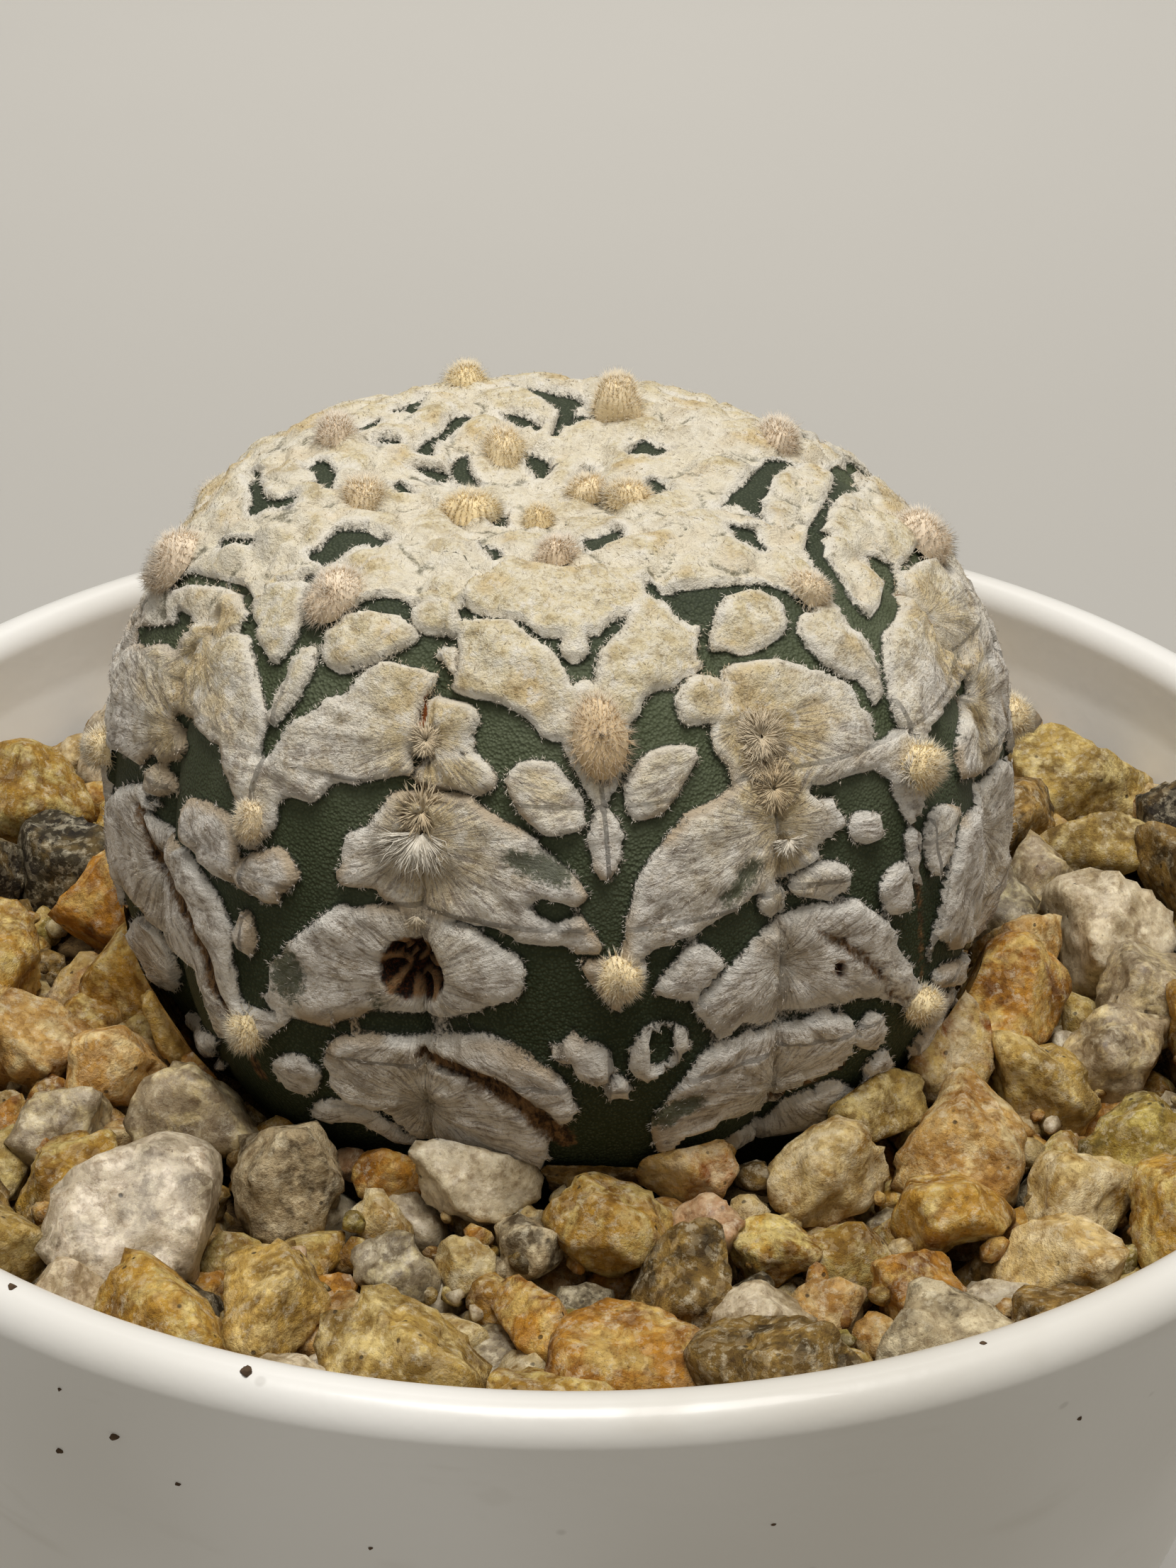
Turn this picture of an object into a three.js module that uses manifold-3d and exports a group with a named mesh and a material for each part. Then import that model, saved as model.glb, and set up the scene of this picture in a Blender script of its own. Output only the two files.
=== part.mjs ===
import * as THREE from "three";
import { mergeVertices } from "three/addons/utils/BufferGeometryUtils.js";
import Module from "manifold-3d";

// A super kabuto star cactus in a plain white pot, in millimetres, +Z up.
// The origin is the centre of the pot's underside; the side in the photograph faces -Y.

const wasm = await Module();
wasm.setup();

// Driving dimensions of the pot
const potHeight = 60;
const rimRadius = 35;
const lipThickness = 2.3;
const wallThickness = 2;
const footRadius = 20;
const footWidth = 3.2;
const footHeight = 1.6;
const footBevel = 0.8;
const floorFillet = 2;
const floorThickness = 2.4;
const lipTurns = [0, 45, 90, 135, 180];
const drainRadius = 4.5;
const touchGap = 0.35;

// Driving dimensions of the fill
const soilTop = 51;
const bedTop = 54.4;
const stoneTries = 9000;
const smallStone = 1.75;
const largeStone = 2.9;
const smallStoneBias = 0.4;
const stoneSwell = 1.12;
const stoneSpacing = 0.9;
const stoneFlatness = 0.74;
const stoneRoughness = 0.3;
const stoneStretch = 0.4;
const stoneTilt = 0.45;
const stoneRise = 0.32;
const wallOverlap = 0.2;
const plantOverlap = 2;
const stoneSeed = 29;

// Driving dimensions of the plant
const ribGrooves = [-61.6, -16.6, 28.4, 73, 109, 141, 174, 215, 260];
const bodyRadius = 18.1;
const bodyCentre = new THREE.Vector3(-0.3, 0.4, 61.8);
const upperHeight = 17.4;
const lowerHeight = 15.5;
const upperFullness = 0.88;
const upperFlatness = 0.72;
const lowerFullness = 1.03;
const crownShift = new THREE.Vector2(-1.75, -2.2);
const crownLean = 3;
const crownDip = 2.5;
const crownDipAngle = 21;
const grooveDepth = 1.4;
const grooveSharpness = 0.62;
const feltEdge = 0.5;
const feltPillow = 0.3;
const pillowWidth = 1.4;
const channelWidening = 0.05;
const crownFeltAngle = 24;
const rootSteps = [[6.8, -14.4], [4.4, -17], [3.2, -21], [2.1, -27], [1, -33]];
const rootTip = -35;
const usualRibWidth = 45;
const frontRibs = 3;
const patternSeed = 11;
const patternShift = 0.05;
const patternDegrees = 1.4;

// The felt's edges are traced on a fine grid and thinned out to their bends, within the cells
// of a coarser net; columns are counted on one rib, rows from the crown
const ribColumns = 28;
const rowDegrees = 1.2;
const crownCells = { columns: [0, 14], rows: [5, 12, 20] };
const sideCells = { columns: [0, 5, 14, 23], rows: [20, 29, 38, 47, 56, 65, 74, 83, 92] };
const edgeTolerance = 0.2;
const crossingShare = 0.25;
const cellBulge = 0.05;

// Sizes of the other facets
const roundSides = 40;
const undersideSpacing = 3;
const undersideDegrees = [120, 129, 138, 147];
const clearanceDegrees = [90, 102, 112, ...undersideDegrees];
const degreeLength = 0.33;
const slopeDegrees = 1;
const crownMargin = 0.5;
const tuftSides = 6;
const tuftDome = [[1, 0.15], [0.88, 0.7], [0.5, 1.1], [0, 1.2]];
const tuftDepth = 1.6;

const degrees = THREE.MathUtils.degToRad;

// A felt shape is a stroke through points of [across the rib, degrees down from the crown,
// half width]. Across runs from -1 in the left groove to 1 in the right one.
const middleFelt = [
  [[-0.7, 15, 0.7], [0, 14, 0.8], [0.6, 16, 0.55]],
  [[-0.85, 27.5, 1.05], [-0.35, 28, 1.35], [0, 29, 1.3], [0.35, 28, 1.3], [0.8, 26, 0.9]],
  [[-0.2, 31, 0.9], [-0.22, 33.3, 0.55]],
  [[0.4, 31, 0.8], [0.42, 33.2, 0.55]],
  [[0.03, 33, 0.5], [0.02, 37.5, 0.5]],
  [[-0.92, 40, 1.35], [-0.5, 42, 1.5], [-0.2, 46, 1.35], [0.02, 51, 1.05], [0.04, 57.5, 0.65]],
  [[0.9, 38.5, 1.3], [0.5, 40, 1.5], [0.27, 45, 1.2], [0.06, 50.5, 0.95]],
  [[-0.86, 50.5, 0.8], [-0.86, 55, 0.8]],
  [[-0.95, 60, 0.9], [-0.72, 60, 0.9]],
  [[0.85, 47.5, 0.95], [0.9, 50.5, 0.8]],
  [[0.97, 52, 0.8], [0.95, 60, 0.8]],
  [[-0.38, 58, 1], [-0.22, 62, 0.95]],
  [[0.5, 56.5, 0.9], [0.33, 61.5, 0.9]],
  [[0.05, 61, 0.3], [0.05, 65, 0.6], [0.02, 69.5, 0.4]],
  [[-0.95, 69, 1.85], [-0.5, 70.5, 1.75], [-0.3, 71.5, 1.35], [-0.08, 72.5, 0.7]],
  [[-0.6, 76, 1.05], [-0.3, 78, 0.7], [-0.05, 80, 0.65], [0.03, 83, 0.8], [0.05, 86, 0.25]],
  [[0.95, 67.5, 2.1], [0.6, 70, 1.75], [0.35, 74, 1.35], [0.18, 78.5, 0.95], [0.06, 83, 0.7]],
  [[-0.97, 83.3, 1.1], [-0.55, 83.3, 1.05]],
  [[0.34, 84.5, 0.5], [0.5, 81.8, 0.7]],
  [[1.0, 84, 1.3], [0.75, 85, 1.1], [0.52, 86.8, 0.55]],
  [[-0.28, 87.8, 0.4], [-0.12, 89.5, 0.7], [0, 91, 0.4]],
  [[0.05, 93, 0.4]],
  [[0.25, 89, 0.9], [0.31, 87.8, 0.9]],
  [[-0.95, 94, 1.45], [-0.6, 94.5, 1.45], [-0.35, 97.5, 1.05], [-0.2, 101, 0.65]],
  [[0.97, 94.5, 1.6], [0.6, 96.5, 1.45], [0.4, 100.5, 0.95], [0.3, 104, 0.5]],
  [[-0.95, 104, 1.05], [-0.6, 105, 0.95], [-0.45, 109, 0.65]],
  [[0.95, 106.5, 0.55], [0.65, 109.5, 0.5]],
];
const leftFelt = [
  [[-0.9, 14, 0.55], [0, 14, 0.9], [0.9, 15, 0.65]],
  [[-0.35, 23.5, 0.8], [0, 24, 1.3], [0.5, 24, 1.5], [0.95, 25, 1.45]],
  [[0.02, 29, 1.3], [0.5, 29.5, 1.3], [0.95, 30, 0.95]],
  [[0, 29, 1.2], [0.02, 38, 0.8]],
  [[-0.62, 33.5, 0.7], [-0.95, 33, 0.8]],
  [[-1.0, 38, 1.2], [-0.5, 38, 1.2], [-0.27, 45, 0.8]],
  [[0.3, 44.3, 0.9], [0.65, 41.5, 0.9]],
  [[0.85, 36.3, 0.65], [1.0, 38, 0.55]],
  [[0.08, 45, 0.4], [0.07, 50, 0.5], [0.08, 55.5, 0.3]],
  [[1.0, 54, 2], [0.7, 55, 2], [0.4, 60, 1.5], [0.15, 64.5, 1.1], [0.08, 70, 0.7],
    [0.08, 73.5, 0.5]],
  [[-0.95, 54, 1.6], [-0.6, 56, 1.7], [-0.32, 60.5, 1.2], [-0.12, 65.5, 0.9], [0.04, 69, 0.7]],
  [[-1.0, 47, 1.05], [-0.65, 48.5, 0.9]],
  [[-0.42, 72, 0.8], [-0.12, 77.5, 0.7]],
  [[0.1, 78, 0.7], [0.27, 76.3, 0.75]],
  [[0.05, 82.5, 0.3], [0.08, 87, 0.35]],
  [[1.0, 70, 1.9], [0.78, 71, 1.5], [0.68, 73.5, 0.8]],
  [[0.97, 83.3, 1.5], [0.7, 84.3, 1.6], [0.45, 86, 1.35], [0.3, 89, 0.8], [0.1, 92.3, 0.65],
    [0, 95, 0.55]],
  [[-0.97, 83, 1.75], [-0.6, 86, 1.5], [-0.3, 89, 1.2], [-0.1, 93, 0.8], [0, 95, 0.55]],
  [[0.33, 98, 0.55], [0.43, 99.5, 0.55]],
  [[0.97, 96.5, 1.2], [0.66, 97.5, 1.05]],
  [[0.95, 104.5, 0.9], [0.55, 105.5, 0.7]],
  [[-0.95, 100, 1.3], [-0.5, 103, 1.05], [-0.2, 107, 0.65]],
];
const rightFelt = [
  [[-0.9, 15, 0.55], [0, 14, 0.8], [0.9, 14, 0.65]],
  [[-0.97, 25, 1.35], [-0.5, 23.5, 1.45], [0, 22, 1.3], [0.6, 20, 1.05]],
  [[-0.8, 29.5, 0.95], [-0.4, 28.5, 1.1], [-0.05, 31, 1.2], [0.05, 36, 0.95], [0.08, 41.5, 0.5]],
  [[1.0, 28, 1.2], [0.7, 30.5, 1.1], [0.35, 34, 1.1], [0.1, 37, 0.9]],
  [[-0.7, 39.8, 1.15], [-0.47, 38.3, 1.2]],
  [[-0.1, 43.5, 0.7], [-0.13, 48, 0.95], [-0.15, 51.5, 0.55]],
  [[0.03, 46, 0.3], [0, 51, 0.45], [-0.03, 54.7, 0.3]],
  [[0.97, 35.5, 0.7], [0.7, 39.5, 0.8], [0.5, 43.5, 0.7]],
  [[1.0, 44, 1.3], [0.7, 48, 1.45], [0.5, 54, 1.45], [0.27, 60, 1.05], [0, 66.5, 0.95]],
  [[-0.97, 56, 2.25], [-0.6, 55.5, 2.4], [-0.37, 57.5, 1.9], [-0.2, 63, 0.95], [-0.08, 67.5, 0.9]],
  [[-0.97, 49, 0.8], [-0.8, 48.5, 0.95]],
  [[-1.0, 70, 1.35], [-0.72, 70, 1.1]],
  [[-0.5, 71.5, 0.65]],
  [[-0.9, 77.3, 0.3], [-0.65, 77.2, 0.65]],
  [[-0.34, 78, 0.6], [-0.32, 81, 0.65]],
  [[-0.02, 79, 0.5], [0.02, 74, 0.6]],
  [[-0.2, 72, 0.35], [-0.16, 80, 0.35], [-0.2, 88, 0.4]],
  [[-0.97, 85.5, 1.3], [-0.6, 86, 1.3], [-0.37, 88.5, 0.9], [-0.15, 93, 0.7]],
  [[1.0, 74, 1.35], [0.6, 80, 1.3], [0.25, 87, 0.95], [0, 93, 0.65]],
  [[0.95, 62, 0.95], [0.85, 68, 0.8]],
  [[-0.97, 95, 1.3], [-0.74, 95, 1.1]],
  [[-0.52, 96, 0.7]],
  [[-0.5, 101.5, 0.4], [-0.42, 103.5, 0.4]],
  [[-0.95, 108, 0.7], [-0.5, 106, 0.7]],
  [[0.95, 96, 1.3], [0.5, 101, 1.05], [0.25, 106, 0.65]],
];

// Bare slits and holes in the felt are strokes of [azimuth, degrees down, half width]
const bareSlits = [
  [[12.2, 88.5, 0.45]],
  [[358, 75.8, 0.25], [364, 73.6, 0.35]],
  [[40, 9.5, 0.2], [44, 13, 0.3]],
  [[101, 11.5, 0.2], [105, 16, 0.35]],
  [[128, 15, 0.3], [129, 19.5, 0.45]],
  [[171, 8.5, 0.2], [170, 13, 0.35]],
  [[216, 9, 0.3], [217, 15.5, 0.35]],
  [[255, 10.5, 0.2], [254, 14.5, 0.35]],
  [[310, 18, 0.5], [300, 25, 0.8]],
  [[254, 23, 0.3], [254, 29, 0.6]],
  [[268, 19, 0.2], [269, 22, 0.3]],
  [[81, 19.5, 0.4], [80, 25, 0.7]],
  [[107, 26, 0.3], [108, 32, 0.5]],
  [[65, 24, 0.35], [61, 28.5, 0.4]],
  [[166, 20, 0.3], [167, 27, 0.5]],
  [[184, 17, 0.25], [186, 22, 0.35]],
  [[352, 12, 0.15], [347, 18, 0.2]],
];

// Woolly areoles, as [across the rib, degrees down, radius, height]
const middleWool = [[0.3, 17, 0.85, 0.45], [0.03, 53.5, 1.2, 0.5], [0.04, 83, 0.85, 0.5]];
const leftWool = [[0, 35, 1, 0.5], [0, 71.5, 0.7, 0.4], [0, 94, 0.8, 0.5]];
const rightWool = [[0.1, 40, 0.85, 0.4], [-0.05, 68, 1.05, 0.8], [-0.08, 94.5, 0.8, 0.5]];
const backNearWool = [[-0.2, 12, 1.15, 0.7], [0.05, 50, 1.05, 0.6], [0, 81, 0.9, 0.6]];
const backFarWool = [[0.1, 27, 1.15, 0.95], [0, 64, 1.05, 0.7], [0.05, 92, 0.85, 0.5]];

// Wool in the crown is [azimuth, degrees down, radius, height]
const crownWool = [[310, 8, 1, 0.5], [290, 4, 0.95, 0.5], [100, 7, 1.25, 0.6], [20, 6.5, 0.9, 0.4]];

// Each rib takes a felt pattern and areoles, mirrored where the third value is true
const ribPatterns = [
  [leftFelt, leftWool, false],
  [middleFelt, middleWool, false],
  [rightFelt, rightWool, false],
  [middleFelt, backNearWool, true],
  [leftFelt, leftWool, true],
  [rightFelt, backFarWool, false],
  [middleFelt, backNearWool, false],
  [rightFelt, backFarWool, true],
  [middleFelt, backNearWool, false],
];

// A repeatable random number from 0 to 1, and one from -1 to 1
function seededRandom(seed) {
  const stride = 1664525;
  const offset = 1013904223;
  const modulus = 2 ** 32;
  let state = seed;
  return () => {
    state = (state * stride + offset) % modulus;
    return state / modulus;
  };
}

const eitherWay = (random) => random() * 2 - 1;

function solidOf(geometry) {
  const bare = geometry.clone();
  bare.deleteAttribute("normal");
  bare.deleteAttribute("uv");
  const merged = mergeVertices(bare);
  const vertProperties = new Float32Array(merged.attributes.position.array);
  const triVerts = new Uint32Array(merged.index.array);
  return new wasm.Manifold(new wasm.Mesh({ numProp: 3, vertProperties, triVerts }));
}

function geometryOf(solid) {
  const { vertProperties, triVerts } = solid.getMesh();
  const geometry = new THREE.BufferGeometry();
  geometry.setAttribute("position", new THREE.BufferAttribute(vertProperties, 3));
  geometry.setIndex(new THREE.BufferAttribute(triVerts, 1));
  geometry.computeVertexNormals();
  return geometry;
}

function joined(solids) {
  return solids.reduce((whole, solid) => whole.add(solid));
}

function namedMesh(name, geometry, colour, roughness) {
  const material = new THREE.MeshStandardMaterial({ color: colour, roughness, metalness: 0 });
  const mesh = new THREE.Mesh(geometry, material);
  mesh.name = name;
  return mesh;
}

// A solid turned about the Z axis from [radius, height] points that run counter-clockwise
function turned(profile) {
  const points = profile.map(([radius, height]) => new THREE.Vector2(radius, height));
  return new THREE.LatheGeometry(points, roundSides).rotateX(Math.PI / 2);
}

// The pot
const lipRadius = lipThickness / 2;
const lipHeight = potHeight - lipRadius;
const floorTop = footHeight + floorThickness;

function outerRadius(height) {
  return THREE.MathUtils.mapLinear(height, footHeight, lipHeight, footRadius, rimRadius);
}

const innerRadius = (height) => outerRadius(height) - wallThickness;

function makePot() {
  const lip = lipTurns.map((turn) => [
    rimRadius - lipRadius + lipRadius * Math.cos(degrees(turn)),
    lipHeight + lipRadius * Math.sin(degrees(turn)),
  ]);
  const footInside = footRadius - footWidth;
  const profile = [
    [drainRadius, footHeight],
    [footInside, footHeight],
    [footInside, 0],
    [footRadius - footBevel, 0],
    [footRadius, footHeight],
    ...lip,
    [innerRadius(lipHeight - lipThickness), lipHeight - lipThickness],
    [innerRadius(floorTop + floorFillet), floorTop + floorFillet],
    [innerRadius(floorTop) - floorFillet, floorTop],
    [drainRadius, floorTop],
  ];
  return turned([...profile, profile[0]]);
}

// Ribs of the plant: azimuth 0 faces -Y and grows towards +X
const firstGroove = ribGrooves[0];
const grooveEnds = [...ribGrooves.slice(1), firstGroove + 360];
const ribWidths = ribGrooves.map((start, rib) => grooveEnds[rib] - start);

function shareOfRib(azimuth) {
  const turn = firstGroove + THREE.MathUtils.euclideanModulo(azimuth - firstGroove, 360);
  const rib = Math.max(0, grooveEnds.findIndex((end) => turn < end));
  return (turn - ribGrooves[rib]) / ribWidths[rib];
}

// The plant's outline before the grooves are cut, with height counted from its widest level
function outlineRadius(polar) {
  const fullness = polar < 90 ? upperFullness : lowerFullness;
  return bodyRadius * Math.sin(degrees(polar)) ** fullness;
}

function outlineHeight(polar) {
  const cosine = Math.cos(degrees(polar));
  if (polar > 90) return lowerHeight * cosine;
  const dip = crownDip * Math.exp(-((polar / crownDipAngle) ** 2));
  return upperHeight * cosine ** upperFlatness - dip;
}

function bodyPoint(azimuth, polar) {
  const angle = degrees(polar);
  const turn = degrees(azimuth);
  const ridge = Math.sin(Math.PI * shareOfRib(azimuth)) ** grooveSharpness;
  const groove = grooveDepth * Math.sin(angle) * (1 - ridge);
  const reach = outlineRadius(polar) - groove;
  const lean = Math.max(0, Math.cos(angle)) ** crownLean;
  return new THREE.Vector3(
    bodyCentre.x + crownShift.x * lean + reach * Math.sin(turn),
    bodyCentre.y + crownShift.y * lean - reach * Math.cos(turn),
    bodyCentre.z + outlineHeight(polar),
  );
}

function bodyNormal(azimuth, polar) {
  const low = Math.max(polar - slopeDegrees, crownMargin);
  const high = low + 2 * slopeDegrees;
  const side = 2 * slopeDegrees;
  const along = bodyPoint(azimuth, high).sub(bodyPoint(azimuth, low));
  const across = bodyPoint(azimuth + side, high).sub(bodyPoint(azimuth - side, high));
  return along.cross(across).normalize();
}

const raisedPoint = (azimuth, polar, lift) => bodyPoint(azimuth, polar)
  .addScaledVector(bodyNormal(azimuth, polar), lift);

// Felt strokes in azimuth, with small seeded changes on the ribs at the back
const patternRandom = seededRandom(patternSeed);
const vary = (amount) => eitherWay(patternRandom) * amount;

function placedStrokes([felt, , mirrored], rib) {
  const middle = ribGrooves[rib] + ribWidths[rib] / 2;
  const side = mirrored ? -1 : 1;
  const slim = Math.sqrt(ribWidths[rib] / usualRibWidth);
  const isFront = rib < frontRibs;
  return felt.map((stroke) => {
    const shift = isFront ? 0 : vary(patternShift);
    const slide = isFront ? 0 : vary(patternDegrees);
    return stroke.map(([across, polar, halfWidth]) => [
      middle + (side * across + shift) * ribWidths[rib] / 2,
      polar + slide,
      halfWidth * slim,
    ]);
  });
}

const feltStrokes = ribPatterns.flatMap(placedStrokes);

// Distance in millimetres from a place on the body to the edge of a stroke, negative inside
function strokeDistance(stroke, azimuth, polar) {
  const scale = degrees(outlineRadius(polar));
  const first = stroke[0][0];
  const away = THREE.MathUtils.euclideanModulo(first - azimuth + 180, 360) - 180;
  const local = stroke.map(([turn, down, halfWidth]) => [
    (away + turn - first) * scale,
    (down - polar) * degreeLength,
    halfWidth,
  ]);
  let nearest = Infinity;
  local.forEach((start, index) => {
    const end = local[Math.min(index + 1, local.length - 1)];
    const [stepX, stepY] = [end[0] - start[0], end[1] - start[1]];
    const lengthSquared = stepX ** 2 + stepY ** 2;
    const along = lengthSquared > 0 ? -(start[0] * stepX + start[1] * stepY) / lengthSquared : 0;
    const share = THREE.MathUtils.clamp(along, 0, 1);
    const gap = Math.hypot(start[0] + share * stepX, start[1] + share * stepY);
    nearest = Math.min(nearest, gap - THREE.MathUtils.lerp(start[2], end[2], share));
  });
  return nearest;
}

// Negative on felt, positive on bare skin
function feltDistance(azimuth, polar) {
  const crown = (polar - crownFeltAngle) * degreeLength;
  const felt = Math.min(crown, ...feltStrokes.map((stroke) => strokeDistance(stroke, azimuth, polar)));
  const slit = Math.min(...bareSlits.map((stroke) => strokeDistance(stroke, azimuth, polar)));
  return Math.max(felt + channelWidening, -slit);
}

// A patch of felt stands up at its edge and swells towards its middle
function feltLift(distance) {
  const share = THREE.MathUtils.clamp(-distance / pillowWidth, 0, 1);
  return feltEdge + feltPillow * Math.sin(share * Math.PI / 2);
}

// The fine grid, which closes on itself round the body and is bare in its last row
const columnCount = ribColumns * ribGrooves.length;
const lastRow = sideCells.rows.at(-1);
const keyOf = (column, row) => `${THREE.MathUtils.euclideanModulo(column, columnCount)}_${row}`;

function gridPlace(column, row) {
  const turns = column / ribColumns;
  const rib = Math.floor(turns) % ribGrooves.length;
  return [ribGrooves[rib] + ribWidths[rib] * (turns - Math.floor(turns)), row * rowDegrees];
}

const samples = Array.from({ length: lastRow + 1 }, (unused, row) => Array.from(
  { length: columnCount },
  (alsoUnused, column) => {
    const distance = feltDistance(...gridPlace(column, row));
    return row === lastRow ? Math.max(distance, pillowWidth) : distance;
  },
));
const sampleAt = ([column, row]) => samples[row][column % columnCount];

// Where the felt's edge crosses a line between two neighbouring places of the grid
function crossing(first, second) {
  const low = [Math.min(first[0], second[0]), Math.min(first[1], second[1])];
  const high = [Math.max(first[0], second[0]), Math.max(first[1], second[1])];
  const share = sampleAt(low) / (sampleAt(low) - sampleAt(high));
  const kept = THREE.MathUtils.clamp(share, crossingShare, 1 - crossingShare);
  return low.map((value, axis) => value + (high[axis] - value) * kept);
}

const average = (values) => values.reduce((sum, value) => sum + value) / values.length;
const neighbour = (list, index) => list[(index + 1) % list.length];

// The parts of one square of the grid that are felt, or that are bare
function squareOutlines(column, row, wantsFelt) {
  const corners = [[column, row], [column, row + 1], [column + 1, row + 1], [column + 1, row]];
  const inside = corners.map((corner) => sampleAt(corner) < 0 === wantsFelt);
  const cuts = corners.map((corner, side) => (inside[side] === neighbour(inside, side) ? []
    : [crossing(corner, neighbour(corners, side))]));
  const isSaddle = cuts.every((cut) => cut.length > 0);
  const isJoined = average(corners.map(sampleAt)) < 0 === wantsFelt;
  if (isSaddle && !isJoined) {
    return corners.map((corner, side) => [corner, ...cuts[side], ...cuts.at(side - 1)])
      .filter((outline, side) => inside[side]);
  }
  return [corners.flatMap((corner, side) => (inside[side] ? [corner, ...cuts[side]] : cuts[side]))];
}

// Closed outlines of the felt, or of the bare skin, within a cell of the net
function cellLoops(cell, wantsFelt) {
  const ends = new Map();
  const places = new Map();
  for (let column = cell.left; column < cell.right; column += 1) {
    for (let row = cell.top; row < cell.bottom; row += 1) {
      for (const outline of squareOutlines(column, row, wantsFelt)) {
        outline.forEach((place, index) => {
          const [start, end] = [keyOf(...place), keyOf(...neighbour(outline, index))];
          places.set(start, place);
          if (!ends.delete(`${end}>${start}`)) ends.set(`${start}>${end}`, [start, end]);
        });
      }
    }
  }
  const next = new Map(ends.values());
  const loops = [];
  while (next.size > 0) {
    const loop = [];
    let [key] = next.keys();
    while (next.has(key)) {
      loop.push(places.get(key));
      const following = next.get(key);
      next.delete(key);
      key = following;
    }
    loops.push(loop);
  }
  return loops;
}

const netPoint = (place) => bodyPoint(...gridPlace(...place));

// The places of a run that its bends need, its two ends left out
function bendsOf(run) {
  if (run.length < 3) return [];
  const chord = new THREE.Line3(netPoint(run[0]), netPoint(run.at(-1)));
  const gaps = run.map((place) => {
    const point = netPoint(place);
    return point.distanceTo(chord.closestPointToPoint(point, true, new THREE.Vector3()));
  });
  const furthest = gaps.indexOf(Math.max(...gaps));
  if (gaps[furthest] < edgeTolerance) return [];
  return [...bendsOf(run.slice(0, furthest + 1)), run[furthest], ...bendsOf(run.slice(furthest))];
}

// Keys of the places that stay corners of facets: the net's own, those on the border of a
// cell, and the bends of the felt's edge inside it
const netCorners = new Set([crownCells, sideCells].flatMap(({ columns, rows }) => ribGrooves
  .flatMap((start, rib) => columns.flatMap((column) => rows
    .map((row) => keyOf(rib * ribColumns + column, row))))));

function keptKeys(cell, loops) {
  const kept = new Set();
  const isBorder = ([column, row]) => column === cell.left || column === cell.right
    || row === cell.top || row === cell.bottom;
  const isFixed = (place) => {
    const isGridNode = place.every(Number.isInteger);
    return isGridNode ? netCorners.has(keyOf(...place)) : isBorder(place);
  };
  for (const loop of loops) {
    const start = Math.max(0, loop.findIndex(isFixed));
    const turned = [...loop.slice(start), ...loop.slice(0, start), loop[start]];
    const fixed = turned.flatMap((place, index) => (isFixed(place) ? [index] : []));
    if (fixed.length === 0) {
      const gaps = turned.map((place) => netPoint(place).distanceTo(netPoint(turned[0])));
      fixed.push(0, gaps.indexOf(Math.max(...gaps)), turned.length - 1);
    }
    fixed.forEach((place, index) => {
      kept.add(keyOf(...turned[place]));
      const run = turned.slice(place, (fixed[index + 1] ?? place) + 1);
      const between = run.slice(1, -1);
      if (between.length === 0 || between.some(isBorder)) return;
      const bends = bendsOf(run);
      const isFlat = bends.length === 0 && run[0].some((value, axis) => value === run.at(-1)[axis]);
      const needed = isFlat ? [between[Math.floor(between.length / 2)]] : bends;
      needed.forEach((bend) => kept.add(keyOf(...bend)));
    });
  }
  return kept;
}

function isInside(point, outline) {
  return outline.filter((start, index) => {
    const end = neighbour(outline, index);
    const isLevel = start.y > point.y !== end.y > point.y;
    return isLevel && point.x < THREE.MathUtils.mapLinear(point.y, start.y, end.y, start.x, end.x);
  }).length % 2 === 1;
}

// Facets that fill the loops of a cell, worked out in a flat square with swollen sides, so
// that no three corners on a side are in line
function filledLoops(cell, loops) {
  const flat = ([column, row]) => {
    const past = THREE.MathUtils.euclideanModulo(column - cell.left, columnCount);
    const across = past * 2 / (cell.right - cell.left) - 1;
    const down = (row - cell.top) * 2 / (cell.bottom - cell.top) - 1;
    return new THREE.Vector2(
      across * (1 + cellBulge * (1 - down ** 2)),
      -down * (1 + cellBulge * (1 - across ** 2)),
    );
  };
  const outlines = loops.map((loop) => ({ loop, outline: loop.map(flat) }))
    .map((entry) => ({ ...entry, area: THREE.ShapeUtils.area(entry.outline) }));
  const outers = outlines.filter(({ area }) => area > 0)
    .sort((first, second) => first.area - second.area);
  const holes = outlines.filter(({ area }) => area < 0);
  const ownerOf = (hole) => outers.find(({ outline }) => isInside(hole.outline[0], outline));
  return outers.flatMap((outer) => {
    const own = holes.filter((hole) => ownerOf(hole) === outer);
    const places = [outer, ...own].flatMap(({ loop }) => loop);
    const corners = [outer, ...own].flatMap(({ outline }) => outline);
    return THREE.ShapeUtils.triangulateShape(outer.outline, own.map(({ outline }) => outline))
      .map((face) => {
        const isTurned = THREE.ShapeUtils.area(face.map((corner) => corners[corner])) < 0;
        return (isTurned ? [...face].reverse() : face).map((corner) => places[corner]);
      });
  });
}

function netCells() {
  return [crownCells, sideCells].flatMap(({ columns, rows }) => ribGrooves.flatMap((start, rib) => columns
    .flatMap((column, index) => rows.slice(1).map((bottom, band) => ({
      left: rib * ribColumns + column,
      right: rib * ribColumns + (columns[index + 1] ?? ribColumns),
      top: rows[band],
      bottom,
    })))));
}

// Facets between an upper and a lower run of vertices along one rib
function stitched(upper, lower) {
  const faces = [];
  let above = 0;
  let below = 0;
  while (above < upper.length - 1 || below < lower.length - 1) {
    const nextAbove = (above + 1) / (upper.length - 1);
    const nextBelow = (below + 1) / (lower.length - 1);
    if (below === lower.length - 1 || nextAbove <= nextBelow) {
      faces.push([upper[above], lower[below], upper[above + 1]]);
      above += 1;
    } else {
      faces.push([upper[above], lower[below], lower[below + 1]]);
      below += 1;
    }
  }
  return faces;
}

const edgesOf = (faces) => faces.flatMap(([first, second, third]) => [
  [first, second], [second, third], [third, first],
]);

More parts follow.
